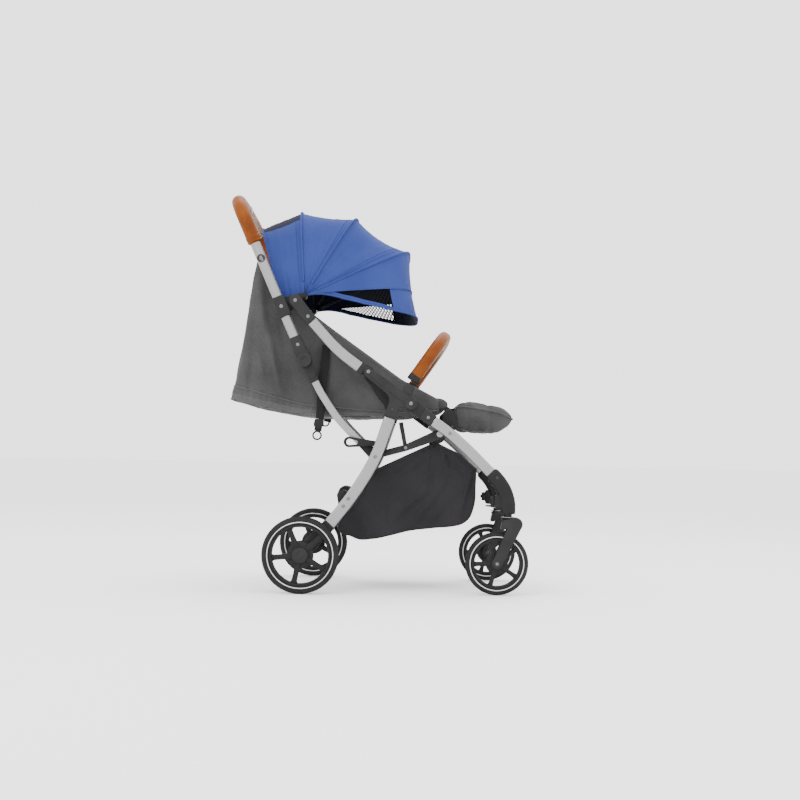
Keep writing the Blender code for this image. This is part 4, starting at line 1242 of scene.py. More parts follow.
def makeUpperFrame():
    makeHandle()
    for tag in sides:
        makeHandleSide(tag)
        makeSide(tag)
    makeBraces()
    makeBumper()
    print("handle, hinges, braces and bumper done")


# Sheets of cloth: each is a grid of points with two faces and a hem

def crossOf(rows, centre):
    grid = np.array([[tuple(p) for p in row] for row in rows])
    normal = np.cross(np.gradient(grid, axis=0), np.gradient(grid, axis=1))
    normal /= np.maximum(np.linalg.norm(normal, axis=2, keepdims=True), 1e-9)
    if (normal * (grid - np.array(centre))).sum() < 0:
        normal = -normal
    return grid, normal


def skinInto(bm, rows, centre, thickness=0.0012, relief=None, outer=0, inner=1):
    # relief(i, k, point) lifts a point outwards; returns the lifted rows and their normals
    grid, normal = crossOf(rows, centre)
    lift = np.zeros(grid.shape[:2])
    if relief:
        for i in range(grid.shape[0]):
            for k in range(grid.shape[1]):
                lift[i, k] = relief(i, k, grid[i, k])
    top = grid + normal * lift[..., None]
    under = top - normal * thickness
    first = gridFaces(bm, [[Vector(p) for p in row] for row in top], material=outer)
    second = gridFaces(bm, [[Vector(p) for p in row] for row in under], material=inner)
    last, side = len(rows) - 1, len(rows[0]) - 1
    edge = [(0, k) for k in range(side)] + [(i, side) for i in range(last)]
    edge += [(last, k) for k in range(side, 0, -1)] + [(i, 0) for i in range(last, 0, -1)]
    for (i, k), (j, n) in zip(edge, edge[1:] + edge[:1]):
        bm.faces.new((first[i][k], first[j][n], second[j][n], second[i][k])).material_index = outer
    return top, normal


def cellArea(rows):
    grid = np.array([[tuple(p) for p in row] for row in rows])
    sides1 = grid[1:, :-1] - grid[:-1, :-1]
    sides2 = grid[:-1, 1:] - grid[:-1, :-1]
    return float(np.linalg.norm(np.cross(sides1, sides2), axis=2).sum())


def asSheet(piece, rows, held, **kw):  # works out the sheet's area and the length of each row, and uses neither
    area = cellArea(rows)
    lengths = [sum((Vector(b) - Vector(a)).length for a, b in zip(row, row[1:])) for row in rows]


def crease(point, start, end, width):
    a, b = Vector(start), Vector(end)
    run = b - a
    t = max(0.0, min(1.0, (Vector(point) - a).dot(run) / run.length_squared))
    off = (Vector(point) - a - run * t).length
    return math.exp(-(off / width) ** 2) * math.sin(math.pi * min(1, max(0.12, 0.12 + 0.76 * t)))


def stitchesInto(bm, line, normals, gap=0.0036, length=0.0024, radius=0.00035, material=0):
    line, normals = [Vector(p) for p in line], [Vector(n) for n in normals]
    total, want = 0.0, gap
    for here, ahead, out in zip(line, line[1:], normals):
        step = (ahead - here).length
        while want < total + step:
            start = here.lerp(ahead, (want - total) / step) + out * radius
            run = (ahead - here).normalized() * length
            sweepInto(bm, [start, start + run * 0.5 + out * radius * 0.6, start + run],
                      circle(radius, 5), edge=0.0001, material=material)
            want += gap
        total += step


# Canopy

canopyLook = {
    "bows": [(93.8, 0.2203), (59.0, 0.2405), (25.7, 0.2845), (-8.0, 0.2830)],
    "rearEdge": ((-0.2365, 0.7135), (-0.2935, 0.9040)),
    "halfWidth": 0.1970,
    "squareness": 4.5,
    "baseRadius": 0.0080,
    "ridgeStart": 0.0340,
    "sag": (0.0036, 0.0045, 0.0110),  # rear, middle and front panels
    "visorSag": 0.0080,
    "wrinkle": 0.0011,
    "thickness": 0.0012,
    "seamShare": (0.86, 0.885, 0.89),
    "secondSeam": 0.83,
    "visorReach": (0.0, 0.0524, 0.0680, 0.1000, 0.1500, 0.2225, 0.2845),  # distance from the pivot
    # shares of the visor's angle at those distances
    "flapEdge": (0.25, 0.45, 0.466, 0.500, 0.534, 0.552, 0.570),
    "stripTop": (0.25, 0.45, 0.470, 0.680, 0.834, 0.932, 0.955),
    "brim": (0.30, 0.593, 0.690, 0.849, 0.941, 0.995, 1.0),
    "window": (0.0680, 0.2225),
    "columns": 120,
}
canopyPivot = Vector((pivot["canopy_front"].x, 0, pivot["canopy_front"].z))


# 0 is the rear edge, 1 to 4 bows and brim
def canopyArch(number, lift=0.0, narrow=0.0, count=None, start=None):
    look = canopyLook
    if number == 0:
        base, tip = (Vector(p) for p in look["rearEdge"])
    else:
        angle, reach = look["bows"][number - 1]
        ray = Vector((math.cos(math.radians(angle)), math.sin(math.radians(angle))))
        centre = Vector((canopyPivot.x, canopyPivot.z))
        base, tip = centre + ray * (start or look["baseRadius"]), centre + ray * (reach + lift)
    points = []
    for k in range(401):
        turn = math.pi * k / 400
        out = abs(math.sin(turn)) ** (2 / look["squareness"])
        across = -math.copysign(abs(math.cos(turn)) ** (2 / look["squareness"]), math.cos(turn))
        spot = base.lerp(tip, out)
        points.append(Vector((spot.x, across * (look["halfWidth"] + lift - narrow), spot.y)))
    return evenLine(points, count or look["columns"])


def canopyRows(first, second, shares, lowColumn=0, highColumn=None):
    a, b = canopyArch(first), canopyArch(second)
    highColumn = len(a) - 1 if highColumn is None else highColumn
    return [[a[k].lerp(b[k], u) for k in range(lowColumn, highColumn + 1)] for u in shares]


# works out an eased share of the angle between two bows for every point, then puts every point back where it
# was
def fanBlend(piece, shares, first, second):
    mesh = piece.data
    kept = [v.co.copy() for v in mesh.vertices]
    for vertex, share in zip(mesh.vertices, shares):
        vertex.co = (0.5 - math.sin(math.asin(1 - 2 * share) / 3), 0, 0)
    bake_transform(piece)
    for vertex, place in zip(mesh.vertices, kept):
        vertex.co = place


def makeCanopyPanel(name, node, first, bodies, seams, seed):
    look = canopyLook
    shares = sorted(set([k / 36 for k in range(37)] + [s + d for s in seams
                                                       for d in (-0.03, -0.015, 0, 0.015, 0.03)]))
    rows = canopyRows(first, first + 1, shares)
    columns = look["columns"]

    def relief(i, k, point):
        u, s = shares[i], k / columns
        roof = min(1.0, math.sin(math.pi * s) * 1.4)
        lift = -look["sag"][first] * math.sin(math.pi * u) * roof
        edgeFade = math.sin(math.pi * u) ** 0.5
        ripple = noise.noise(Vector((u * 7 + seed, s * 5, seed))) + 0.6 * noise.noise(Vector((u * 16,
                s * 8 + seed, 3)))
        lift += look["wrinkle"] * ripple * edgeFade
        gather = math.exp(-s / 0.12) + math.exp(-(1 - s) / 0.12)
        lift += 0.0012 * gather * math.sin(u * 26 + seed) * edgeFade
        reach = min(1.0, math.hypot(point[0] - canopyPivot.x, point[2] - canopyPivot.z) / 0.07)
        for seam in seams:
            lift -= 0.0006 * reach * math.exp(-((u - seam) / 0.012) ** 2)
            lift += 0.0003 * reach * math.exp(-((u - seam - 0.03) / 0.014) ** 2)
        if first == 0 and 0.27 < s < 0.73:
            lift += 0.0042 * math.sin(math.pi * u) * min(1, (s - 0.27) / 0.04, (0.73 - s) / 0.04)
        return lift

    bm = bmesh.new()
    top, normal = skinInto(bm, rows, canopyPivot, look["thickness"], relief)
    pointShares = [u for u in shares for _ in range(columns + 1)] * 2
    if first == 0:
        cells = len(shares) - 1
        bm.faces.ensure_lookup_table()
        for index in range(cells * columns):
            if 0.27 < (index % columns + 0.5) / columns < 0.73:
                bm.faces[index].material_index = 1
    for seam in seams:
        i = min(range(len(shares)), key=lambda n: abs(shares[n] - seam))
        for shift in (-1, 1):
            before = len(bm.verts)
            stitchesInto(bm, top[i + shift], normal[i + shift], 0.0048, 0.0030, 0.00032, 2)
            pointShares += [shares[i + shift]] * (len(bm.verts) - before)
    piece = newMesh(name, bm, ["blueFabric", "navyLining", "blueThread"], 50)
    fanBlend(piece, pointShares, *bodies)
    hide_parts(node)
    asSheet(piece, rows, "stretched")


def makeBowRidge(number, body):
    bm = bmesh.new()
    line = canopyArch(number, 0.0008, count=140, start=canopyLook["ridgeStart"])
    sweepInto(bm, line, roundedBox(0.0052, 0.0060, 0.0024, 4), edge=0.0020)
    ridge = newMesh(f"canopyRidge.{number}", bm, "blueFabric", 50)
    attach(ridge, body)
    if 1 <= number <= 3:
        bm = bmesh.new()
        narrow = 0.0055 + 0.0042 * (number - 1)
        line = canopyArch(number, -0.0055, narrow - 0.0055, 120, 0.020)
        sweepInto(bm, line, roundedBox(0.0060, 0.0028, 0.0009, 2), edge=0.0004)
        bow = newMesh(f"canopyBow.{number}", bm, "black", 50)
        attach(bow, body)
        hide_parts(f"canopy_bow_{number}")


def makeVisor():
    look = canopyLook
    columns = look["columns"]
    arches = canopyArch(3), canopyArch(4)
    reaches = [math.hypot(p.x - canopyPivot.x, p.z - canopyPivot.z) for p in arches[0]]
    lines = {key: list(np.interp(reaches, look["visorReach"], look[key])) for key in ("flapEdge", "stripTop",
            "brim")}
    lines["ridge"] = [0.0] * (columns + 1)
    lines["flapHem"] = [share + 0.02 for share in lines["flapEdge"]]
    lines["underFlap"] = [share - 0.02 for share in lines["flapEdge"]]
    lines["underStrip"] = [share + 0.03 for share in lines["stripTop"]]
    inner, outer = (min(k for k, reach in enumerate(reaches) if reach > limit) for limit in look["window"])
    near, far = (inner, outer), (columns - outer, columns - inner)

    def visorPoint(k, share):  # the front hangs a little slack between the ridge and the brim
        point = arches[0][k].lerp(arches[1][k], share)
        slack = look["visorSag"] * math.sin(math.pi * min(1.0, share)) * math.sin(math.pi * k / columns) ** 2
        return point + (canopyPivot - point).normalized() * slack

    def rowsBetween(upper, lower, span, count):
        return [[visorPoint(k, lines[upper][k] + (lines[lower][k] - lines[upper][k]) * i / count)
                 for k in range(span[0], span[1] + 1)] for i in range(count + 1)]

    def relief(lift, seed):
        def at0(i, k, point):
            return lift + 0.0012 * noise.noise(Vector((point[0] * 22, point[1] * 14, point[2] * 22 + seed)))
        return at0

    bm = bmesh.new()
    whole, middle = (0, columns), (outer, columns - outer)
    patches = [("ridge", "flapHem", whole, 0.0014, 24), ("underFlap", "brim", middle, 0.0, 16)]
    patches += [("stripTop", "brim", span, 0.0, 5) for span in (near, far)]
    patches += [("underFlap", "brim", span, 0.0, 6) for span in ((0, inner), (columns - inner, columns))]
    area = 0.0
    for seed, (upper, lower, span, lift, count) in enumerate(patches):
        rows = rowsBetween(upper, lower, span, count)
        skinInto(bm, rows, canopyPivot, look["thickness"], relief(lift, seed))
        area += cellArea(rows)
    grid, normal = crossOf(rowsBetween("flapEdge", "flapHem", whole, 2), canopyPivot)
    sweepInto(bm, [Vector(p) + Vector(n) * 0.0018 for p, n in zip(grid[2], normal[2])], circle(0.0011, 8),
              edge=0.0004)
    grid, normal = crossOf(rowsBetween("stripTop", "brim", whole, 2), canopyPivot)
    sweepInto(bm, [Vector(p) for p in grid[2]], circle(0.0024, 10), edge=0.0004)
    visor = newMesh("visorPanel", bm, ["blueFabric", "navyLining"], 50)
    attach(visor, "bow_3")
    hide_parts("canopy_visor")
    bm = bmesh.new()
    area = 0.0
    for low, high in (near, far):
        rows = rowsBetween("underFlap", "underStrip", (low - 1, high + 1), 12)
        grid, normal = crossOf(rows, canopyPivot)
        gridFaces(bm, [[Vector(p) - Vector(n) * 0.0016 for p, n in zip(*pair)] for pair in zip(grid, normal)])
        area += cellArea(rows)
    net = newMesh("visorNet", bm, "net", 60)
    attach(net, "bow_3")
    print("visor done")


def makeCanopyHinges():
    for tag, side in sides.items():
        bm = bmesh.new()
        turnedInto(bm, roundProfile([(0.0, 0.1700), (0.0075, 0.1700), (0.0075, 0.1955), (0.0, 0.1955)],
                                    0.0015),
                   canopyPivot, (0, side, 0), 48)
        plateInto(bm, linkOutline((canopyPivot.x, canopyPivot.z), (-0.2440, 0.7080), 0.0070, 0.0080), side,
                  0.1995, 0.2070)
        hinge = newMesh(f"canopyHinge.{tag}", bm, "black", 45)
        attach(hinge, "handle")


def makeCanopy():
    seams = canopyLook["seamShare"]
    makeCanopyPanel("canopyRearPanel", "canopy_rear_panel", 0, ("handle", "bow_1"), seams[:1], 1)
    makeCanopyPanel("canopyMiddlePanel", "canopy_middle_panel", 1, ("bow_1", "bow_2"), seams[1:2], 2)
    makeCanopyPanel("canopyFrontPanel", "canopy_front_panel", 2, ("bow_2", "bow_3"),
                    (canopyLook["secondSeam"], seams[2]), 3)
    for number, body in enumerate(("handle", "bow_1", "bow_2", "bow_3")):
        makeBowRidge(number, body)
    makeVisor()
    makeCanopyHinges()
    print("canopy done")


# Seat shell: side walls, rear wall and floor

shellLook = {
    "bottom": [(0.1540, 0.4480), (0.0700, 0.4360), (-0.0776, 0.4340), (-0.1891, 0.4370), (-0.2834, 0.4530),
               (-0.3642, 0.4700)],
    "rim": [(0.1540, 0.4740), (0.0606, 0.5223), (-0.1186, 0.6487), (-0.1593, 0.6790), (-0.2080, 0.7380),
            (-0.2500, 0.7950),
            (-0.3043, 0.8108)],
    "rear": [(-0.3642, 0.4700), (-0.3489, 0.5179), (-0.3330, 0.6048), (-0.3176, 0.7165), (-0.3043, 0.8108)],
    "halfWidth": 0.1662,
    "corner": 0.0260,
    "thickness": 0.0018,
    "patch": [(-0.0330, 0.5330), (-0.0130, 0.5060), (0.0040, 0.4780), (0.0150, 0.4520), (0.0500, 0.4520),
              (0.0480, 0.4860),
              (0.0060, 0.5110)],
    "folds": [
        ((-0.2804, 0.6786), (-0.2396, 0.4937), 0.010, 0.0042), ((-0.2920, 0.5710), (-0.2800, 0.5147), 0.008,
                                                                0.0034),
        ((-0.2930, 0.7805), (-0.2825, 0.6410), 0.009, 0.0040), ((-0.2630, 0.6009), (-0.2423, 0.4937), 0.007,
                                                                0.0030),
        ((-0.2427, 0.6686), (-0.2250, 0.5880), 0.012, -0.0040), ((-0.0356, 0.5105), (0.0190, 0.4525), 0.008,
                                                                 0.0032),
        ((-0.1400, 0.6200), (-0.1250, 0.4700), 0.014, -0.0030), ((-0.3050, 0.7000), (-0.3150, 0.5200), 0.010,
                                                                 -0.0034),
        ((-0.1800, 0.6100), (-0.1500, 0.4700), 0.016, 0.0030), ((-0.3200, 0.5600), (-0.3300, 0.4900), 0.007,
                                                                0.0028),
        ((-0.0900, 0.5600), (-0.0300, 0.4600), 0.016, 0.0034), ((-0.2200, 0.5500), (-0.2100, 0.4600), 0.012,
                                                                -0.0026),
    ],
}


def shellRows():
    look = shellLook
    lines = {key: evenLine([Vector((x, 0, z)) for x, z in look[key]], 240) for key in ("bottom", "rim",
            "rear")}
    columns, levels = 84, 40

    def wallPoint(a, v):
        low, high = lines["bottom"][round(a * 240)], lines["rim"][round(a * 240)]
        spot = low.lerp(high, v)
        edge = lines["rear"][round(v * 240)] - lines["bottom"][240].lerp(lines["rim"][240], v)
        return spot + edge * a ** 3

    rows = []
    for j in range(levels + 1):
        v = j / levels
        near = []
        rear = lines["rear"][round(v * 240)].x
        for k in range(columns + 1):
            a = 1 - (1 - k / columns) ** 1.5
            spot = wallPoint(a, v)
            gap = max(0.0, spot.x - rear)
            y = look["halfWidth"]
            if gap < look["corner"]:
                y -= look["corner"] - math.sqrt(max(0.0, look["corner"] ** 2 - (look["corner"] - gap) ** 2))
            near.append(Vector((spot.x, -y, spot.z)))
        half = -near[-1].y
        middle = [Vector((near[-1].x - 0.004 * math.sin(math.pi * (k / 30)), -half + 2 * half * k / 30,
                          near[-1].z))
                  for k in range(1, 30)]
        rows.append(near + middle + [Vector((p.x, -p.y, p.z)) for p in reversed(near)])
    return rows, columns


def makeSeatShell():
    look = shellLook
    rows, columns = shellRows()
    levels, across = len(rows) - 1, len(rows[0]) - 1
    bm = bmesh.new()

    def relief(j, k, point):
        x, y, z = point
        v = j / levels
        lift = 0.0022 * noise.noise(Vector((x * 14, y * 9, z * 7))) + 0.0010 * noise.noise(Vector((x * 40,
                y * 30, z * 26)))
        for start, end, width, height in look["folds"]:
            if k <= columns or k >= across - columns:
                lift += 2.0 * height * crease((x, z), start, end, width)
            else:
                lift += height * 0.8 * crease((y + 0.12 + 4 * height, z), (start[0] + 0.28, start[1]),
                                              (end[0] + 0.24, end[1]), width * 1.5)
        band = math.exp(-((v - 0.045) / 0.045) ** 2)
        lift += 0.0022 * band * math.sin((x + y) * 420 + 3 * noise.noise(Vector((x * 30, y * 30, 0))))
        lift += 0.0030 * math.sin(math.pi * v)
        return lift * min(1, (1 - v) / 0.04 + 0.15)

    top, normal = skinInto(bm, rows, Vector((-0.12, 0, 0.55)), look["thickness"], relief)
    bm.faces.ensure_lookup_table()
    for index in range(levels * across):
        if index < across * 2:
            bm.faces[index].material_index = 2
    shell = newMesh("seatShell", bm, ["greyFabric", "blackFabric", "greyPiping"], 50)
    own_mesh(shell)
    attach(shell, "chassis")
    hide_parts("seat_shell")
    asSheet(shell, rows, "stretched")
    bm = bmesh.new()
    for side in sides.values():
        plateInto(bm, filleted(look["patch"], 0.004), side, look["halfWidth"] + 0.0026,
                  look["halfWidth"] + 0.0052, 0.0010)
    patch = newMesh("seatShellPatches", bm, "blackFabric", 50)
    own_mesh(patch)
    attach(patch, "chassis")
    bm = bmesh.new()
    low = 4
    piping = [Vector(p) + Vector(n) * 0.0008 for p, n in zip(top[low], normal[low])]
    sweepInto(bm, evenLine(piping, 320), circle(0.0019, 8), edge=0.0006)
    binding = [Vector(p) - Vector(n) * look["thickness"] / 2 for p, n in zip(top[-1], normal[-1])]
    sweepInto(bm, evenLine(binding, 320), roundedBox(0.0042, 0.0075, 0.0018, 3), across=(0, 0, 1),
              edge=0.0006)
    trim = newMesh("seatShellPiping", bm, "greyPiping", 60)
    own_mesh(trim)
    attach(trim, "chassis")
    bm = bmesh.new()
    floorRows = []
    for k in range(0, 241, 5):
        spot = evenLine([Vector((x, 0, z)) for x, z in look["bottom"]], 240)[k]
        half = look["halfWidth"] - 0.004
        if k == 240:
            half -= 0.018
        floorRows.append([Vector((spot.x + (0.004 if k == 240 else 0), -half + 2 * half * n / 40,
                                  spot.z - 0.0045 * math.sin(math.pi * n / 40) * math.sin(math.pi * min(1,
                                          k / 240))))
                          for n in range(41)])

    def floorRelief(i, k, point):
        return 0.0016 * noise.noise(Vector((point[0] * 16, point[1] * 16, 5)))

    skinInto(bm, floorRows, Vector((-0.1, 0, 0.6)), look["thickness"], floorRelief, 0, 0)
    base = newMesh("seatShellFloor", bm, "blackFabric", 50)
    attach(base, "chassis")
    asSheet(base, floorRows, "stretched")
    print("seat shell done")


# Basket

basketLook = {
    "strip": [(0.0016, 0.2995), (-0.0480, 0.2250), (-0.0949, 0.1569), (-0.0616, 0.1336), (-0.0213, 0.1249),
              (0.0795, 0.1455),
              (0.1499, 0.1561), (0.2233, 0.1713), (0.2481, 0.2184), (0.2490, 0.3060)],
    "top": [(0.0016, 0.2995), (0.1480, 0.3690), (0.2020, 0.3440), (0.2490, 0.3060)],
    "halfWidth": 0.1640,
    "thickness": 0.0014,
    "inset": 0.0070,
    "folds": [
        ((0.1728, 0.2753), (0.0870, 0.1601), 0.0070, 0.0050), ((0.1514, 0.2727), (0.0674, 0.2002), 0.0080,
                                                               0.0042),
        ((0.1690, 0.2134), (0.1341, 0.1735), 0.0060, 0.0036), ((0.1650, 0.3560), (0.1787, 0.3000), 0.0050,
                                                               0.0036),
        ((0.1560, 0.3560), (0.2250, 0.2900), 0.0070, -0.0034), ((0.1400, 0.3480), (0.0500, 0.2900), 0.0070,
                                                                0.0040),
        ((0.1400, 0.3300), (0.1350, 0.2400), 0.0080, -0.0030), ((0.0200, 0.2500), (0.0250, 0.1400), 0.0120,
                                                                -0.0032),
        ((0.2350, 0.2900), (0.2050, 0.1800), 0.0060, 0.0050), ((-0.0400, 0.1900), (-0.0100, 0.1400), 0.0100,
                                                               0.0034),
        ((0.1150, 0.2300), (0.0400, 0.1600), 0.0070, -0.0036),
    ],
}


def makeBasket():
    look = basketLook
    along = 96
    outline = [Vector((x, 0, z)) for x, z in look["strip"]]
    strip = evenLine(smoothLine(outline, 8), along)
    top = evenLine([Vector((x, 0, z)) for x, z in look["top"]], along)
    middle = Vector((0.09, 0, 0.24))
    wall, floor, half = 22, 22, look["halfWidth"]
    rows = []
    for i in range(along + 1):
        edge = strip[i] + (middle - strip[i]).normalized() * look["inset"] * math.sin(math.pi
                * i / along) ** 0.5
        end = min(1.0, i / 5, (along - i) / 5)
        row = []
        for j in range(wall):
            v = j / wall
            spot = top[i].lerp(edge, v)
            row.append(Vector((spot.x, -half + 0.002 * math.sin(math.pi * v), spot.z)))
        for j in range(floor + 1):
            t = j / floor
            bulge = min(1.0, (4 * t * (1 - t)) ** 0.6)
            spot = edge.lerp(strip[i], bulge * end)
            y = -half + 2 * half * t
            row.append(Vector((spot.x, y, spot.z)))
        for j in range(wall - 1, -1, -1):
            row.append(Vector((row[j].x, -row[j].y, row[j].z)))
        rows.append(row)
    bm = bmesh.new()
    count = len(rows[0])

    def relief(i, k, point):
        x, y, z = point
        lift = 0.0016 * noise.noise(Vector((x * 16, y * 12, z * 16))) + 0.0008 * noise.noise(Vector((x * 44,
                y * 30, z * 44)))
        onWall = k < wall or k >= count - wall
        if onWall:
            for start, end, width, height in look["folds"]:
                lift += 1.7 * height * crease((x, z), start, end, width)
            v = min(k, count - 1 - k) / wall
            lift *= min(1, 0.25 + v / 0.12, 0.2 + (1 - v) / 0.15)
            gather = math.exp(-((x - 0.1463) ** 2 + (z - 0.3680) ** 2) / 0.0016)
            lift += 0.0022 * gather * math.sin(math.atan2(z - 0.40, x - 0.1463) * 34)
        else:
            t = (k - wall) / floor
            lift += 0.0024 * math.sin(t * 14 + x * 25) * math.sin(math.pi * t)
        return lift

    top3d, normal = skinInto(bm, rows, middle, look["thickness"], relief, 0, 0)
    bag = newMesh("basketCloth", bm, "blackFabric", 50)
    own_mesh(bag)
    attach(bag, "chassis")
    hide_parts("basket")
    asSheet(bag, rows, "hung")
    bm = bmesh.new()
    for column in (wall, count - 1 - wall):
        line = [Vector(top3d[i][column]) + Vector(normal[i][column]) * 0.0006 for i in range(along + 1)]
        sweepInto(bm, line, circle(0.0019, 8), edge=0.0006)
    for column, side in ((0, -1), (count - 1, 1)):
        line = [Vector(top3d[i][column]) for i in range(along + 1)]
        sweepInto(bm, line, roundedBox(0.0070, 0.0046, 0.0018, 3), edge=0.0006)
        loop = smoothLine([at(side, (0.1463, 0.3660), half + 0.001), at(side, (0.1500, 0.3760), half + 0.002),
                           at(side, (0.1573, 0.3800), half + 0.006), at(side, (0.1640, 0.3880),
                                   half + 0.008)], 6)
        sweepInto(bm, loop, roundedBox(0.0200, 0.0022, 0.0008, 2), edge=0.0004)
    for end in (0, along):
        line = [Vector(p) for p in top3d[end][wall:count - wall]]
        sweepInto(bm, line, roundedBox(0.0070, 0.0046, 0.0018, 3), across=(1, 0, 0), edge=0.0006)
    trim = newMesh("basketPiping", bm, "blackFabric", 60)
    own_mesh(trim)
    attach(trim, "chassis")
    print("basket done")


# Straps and the struts under the seat

strapLook = {
    "path": [(-0.1259, 0.6074, 0.1735), (-0.1300, 0.5500, 0.1762), (-0.1355, 0.4900, 0.1765),
             (-0.1385, 0.4363, 0.1750),
             (-0.1400, 0.4250, 0.1748)],
    "width": 0.0200,
    "thickness": 0.0016,
    "ring": (-0.1455, 0.3842),
    "leftRise": 0.0400,  # the left buckle is pulled up tight
    "hinge": [(0.1660, 0.4020), (0.1640, 0.4460), (0.1760, 0.4560), (0.1900, 0.4520), (0.1990, 0.4280),
              (0.2010, 0.4080),
              (0.1890, 0.3990)],
}


def makeStraps():
    look = strapLook
    for tag, side in sides.items():
        rise = look["leftRise"] if tag == "l" else 0.0
        line = evenLine(smoothLine([at(side, (x, z), y) for x, z, y in look["path"]], 8), 60)
        bm = bmesh.new()
        sweepInto(bm, line, roundedBox(look["width"], look["thickness"], 0.0006, 2), edge=0.0003)
        tail = smoothLine([at(side, (p[0], p[1] + rise), 0.1746) for p in ((-0.1410, 0.4120),
                (-0.1425, 0.4040), (-0.1440, 0.3950))], 6)
        sweepInto(bm, tail, roundedBox(look["width"] * 0.9, look["thickness"] * 1.6, 0.0008, 2), edge=0.0003)
        strap = newMesh(f"reclineStrap.{tag}", bm, "webbing", 60)
        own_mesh(strap)
        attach(strap, "chassis")
        bm = bmesh.new()
        body = [(-0.1300, 0.4255), (-0.1290, 0.4130), (-0.1310, 0.4060), (-0.1530, 0.4045),
                (-0.1545, 0.4120), (-0.1515, 0.4250)]
        plateInto(bm, filleted([(x, z + rise) for x, z in body], 0.003), side, 0.1716, 0.1784, 0.0018)
        prong = [(-0.1345, 0.4120), (-0.1345, 0.4010), (-0.1500, 0.4000), (-0.1500, 0.4110)]
        plateInto(bm, filleted([(x, z + rise) for x, z in prong], 0.002), side, 0.1724, 0.1776, 0.0014)
        centre = at(side, (look["ring"][0], look["ring"][1] + rise), 0.1748)
        ring = []
        for k in range(13):
            turn = 2 * math.pi * k / 12
            ring.append((0.0100 + 0.0021 * math.cos(turn), 0.0021 * math.sin(turn)))
        turnedInto(bm, ring[:-1], centre, steps=40, closed=True)
        buckle = newMesh(f"strapBuckle.{tag}", bm, "black", 45)
        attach(buckle, "chassis")
        bm = bmesh.new()
        plateInto(bm, barOutline((0.0610, 0.4200), (0.0737, 0.3572), 0.0110, 0.0095, 0.002), side, 0.1615,
                  0.1660, 0.0009)
        strut = newMesh(f"seatStrut.{tag}", bm, "blackSteel", 45)
        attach(strut, "brace_rear")
        bm = bmesh.new()
        plateInto(bm, filleted(look["hinge"], 0.004), side, 0.1614, 0.1664, 0.0012)
        hinge = newMesh(f"legrestHinge.{tag}", bm, "black", 45)
        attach(hinge, "chassis")
        screw("chassis", side, (0.1880, 0.4110), 0.1664, 0.0034, "darkSteel")
    print("straps and struts done")


# Pads, swelled by a cloth simulation

padLook = {
    "seat_pad": {"name": "seatPad", "body": "chassis", "cap": 0.006, "material": "greyFabric",
                 "shrink": 0.0030},
    "backrest": {"name": "backrestPad", "body": "backrest", "cap": 0.006, "material": "greyFabric",
                 "shrink": 0.0030},
    "legrest": {"name": "legrestPad", "body": "legrest", "cap": 0.008, "material": "greyFabric",
                "shrink": 0.0035},
    "flap": {"path": [(0.1680, 0.4690), (0.1790, 0.4600), (0.1870, 0.4565), (0.1950, 0.4600),
                      (0.2010, 0.4660)],
             "halfWidth": 0.1440, "thickness": 0.0016},
    "voxel": 0.0050,
    "pressure": 4.0,
    "frames": 20,
}


def swellPad(node):
    look = padLook[node]
    source = bpy.data.objects[node]
    piece = bpy.data.objects.new(look["name"], source.data.copy())
    piece.matrix_world = source.matrix_world
    bpy.context.scene.collection.objects.link(piece)
    piece.data.materials.clear()
    if piece.parent:
        piece.parent = None
    remesh = piece.modifiers.new("remesh", "REMESH")
    remesh.mode = "VOXEL"
    remesh.voxel_size = padLook["voxel"]
    applyModifiers(piece)
    for vertex, normal in [(v, v.normal.copy()) for v in piece.data.vertices]:
        vertex.co -= normal * look["shrink"]
    start = [v.co.copy() for v in piece.data.vertices]
    cloth = piece.modifiers.new("cloth", "CLOTH")
    cloth.settings.quality = 5
    cloth.settings.mass = 0.3
    cloth.settings.tension_stiffness = 12
    cloth.settings.compression_stiffness = 12
    cloth.settings.bending_stiffness = 0.6
    cloth.settings.use_pressure = True
    cloth.settings.uniform_pressure_force = padLook["pressure"]
    cloth.settings.effector_weights.gravity = 0
    cloth.point_cache.frame_start = 1
    cloth.point_cache.frame_end = padLook["frames"]
    for frameNumber in range(1, padLook["frames"] + 1):
        bpy.context.scene.frame_set(frameNumber)
    applyModifiers(piece)
    bpy.context.scene.frame_set(1)
    for vertex, was in zip(piece.data.vertices, start):
        move = vertex.co - was
        if move.length > look["cap"]:
            vertex.co = was + move.normalized() * look["cap"]
    smooth = piece.modifiers.new("smooth", "CORRECTIVE_SMOOTH")
    smooth.iterations = 4
    smooth.use_only_smooth = True
    finer = piece.modifiers.new("finer", "SUBSURF")
    finer.levels = finer.render_levels = 1
    applyModifiers(piece)
    return piece


def applyModifiers(piece):
    evaluated = piece.evaluated_get(bpy.context.evaluated_depsgraph_get())
    mesh = bpy.data.meshes.new_from_object(evaluated)
    old = piece.data
    piece.modifiers.clear()
    piece.data = mesh
    bpy.data.meshes.remove(old)


def boxUv(mesh):  # weave coordinates in metres, laid on from the side each face looks to
    layer = mesh.uv_layers.get("UVMap") or mesh.uv_layers.new(name="UVMap")
    for face in mesh.polygons:
        way = max(range(3), key=lambda n: abs(face.normal[n]))
        first, second = [n for n in range(3) if n != way]
        for index in face.loop_indices:
            co = mesh.vertices[mesh.loops[index].vertex_index].co
            layer.data[index].uv = (co[first], co[second])


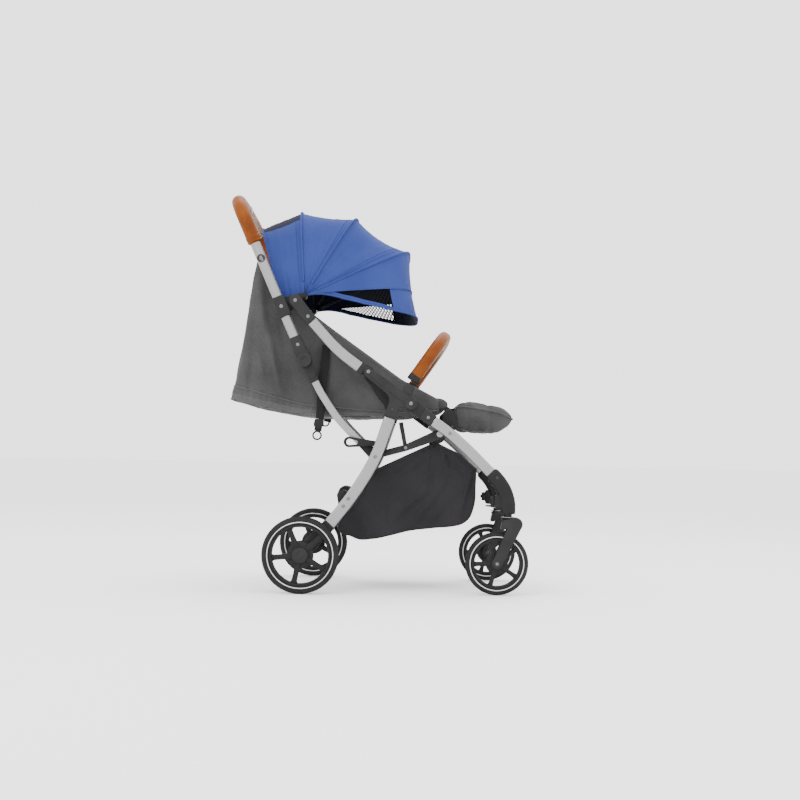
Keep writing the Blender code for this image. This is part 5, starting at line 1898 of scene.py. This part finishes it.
def makePads():
    for node in ("seat_pad", "backrest", "legrest"):
        look = padLook[node]
        piece = swellPad(node)
        for vertex, normal in [(v, v.normal.copy()) for v in piece.data.vertices]:
            x, y, z = vertex.co
            fold = 0.0012 * noise.noise(Vector((x * 18, y * 12, z * 10 + 2)))
            fold += 0.0007 * noise.noise(Vector((x * 50, y * 40, z * 30)))
            channel = 0.0
            if node != "legrest":
                for line in (-0.07, 0.07):
                    channel -= 0.0030 * math.exp(-((y - line) / 0.006) ** 2)
            else:
                for line in (0.23, 0.285):
                    channel -= 0.0022 * math.exp(-((x - line - 0.01 * math.sin(y * 18)) / 0.006) ** 2)
            vertex.co += normal * (fold + channel)
        boxUv(piece.data)
        piece.data.materials.append(finish[look["material"]])
        piece.data.shade_smooth()
        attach(piece, look["body"])
        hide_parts(node)
        print(node, "swelled")
    makeLegrestFlap()
    legrestPiping()


def makeLegrestFlap():  # bridges the gap between the seat and the legrest
    look = padLook["flap"]
    line = evenLine(smoothLine([at(1, p, 0) for p in look["path"]], 8), 16)
    half = look["halfWidth"]
    rows = [[Vector((p.x, -half + 2 * half * k / 48, p.z)) for k in range(49)] for p in line]

    def relief(i, k, point):
        return 0.0010 * noise.noise(Vector((point[0] * 40, point[1] * 30, 2)))

    bm = bmesh.new()
    skinInto(bm, rows, Vector((0.19, 0, 0.40)), look["thickness"], relief, 0, 0)
    flap = newMesh("legrestFlap", bm, "greyFabric", 50)
    start, end = (tuple(line[k]) for k in (2, 14))
    asSheet(flap, rows, "folded")
    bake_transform(flap)
    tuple(start)
    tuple(end)


def legrestPiping():
    low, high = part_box("legrest")
    half = (high.y - low.y) / 2 - 0.0010
    path = [(0.1945, 0.4600), (0.2100, 0.4622), (0.2450, 0.4588), (0.3000, 0.4498), (0.3260, 0.4390)]
    bm = bmesh.new()
    for side in sides.values():
        line = evenLine(smoothLine([at(side, p, half) for p in path], 8), 60)
        sweepInto(bm, line, circle(0.0018, 8), edge=0.0006)
    front = [at(-1, (0.3260, 0.4390), half), at(-1, (0.3350, 0.4345), half - 0.008),
             at(-1, (0.3390, 0.4325), half - 0.026)]
    front = front + [Vector((p.x, -p.y, p.z)) for p in reversed(front)]
    sweepInto(bm, evenLine(smoothLine(front, 10), 120), circle(0.0018, 8), across=(0, 0, 1), edge=0.0006)
    piping = newMesh("legrestPiping", bm, "greyPiping", 60)
    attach(piping, "legrest")


makeStage()
makeWheels()
makeFront()
makeChassis()
makeUpperFrame()
makeCanopy()
makeSeatShell()
makeBasket()
makeStraps()
makePads()
makeScrews()
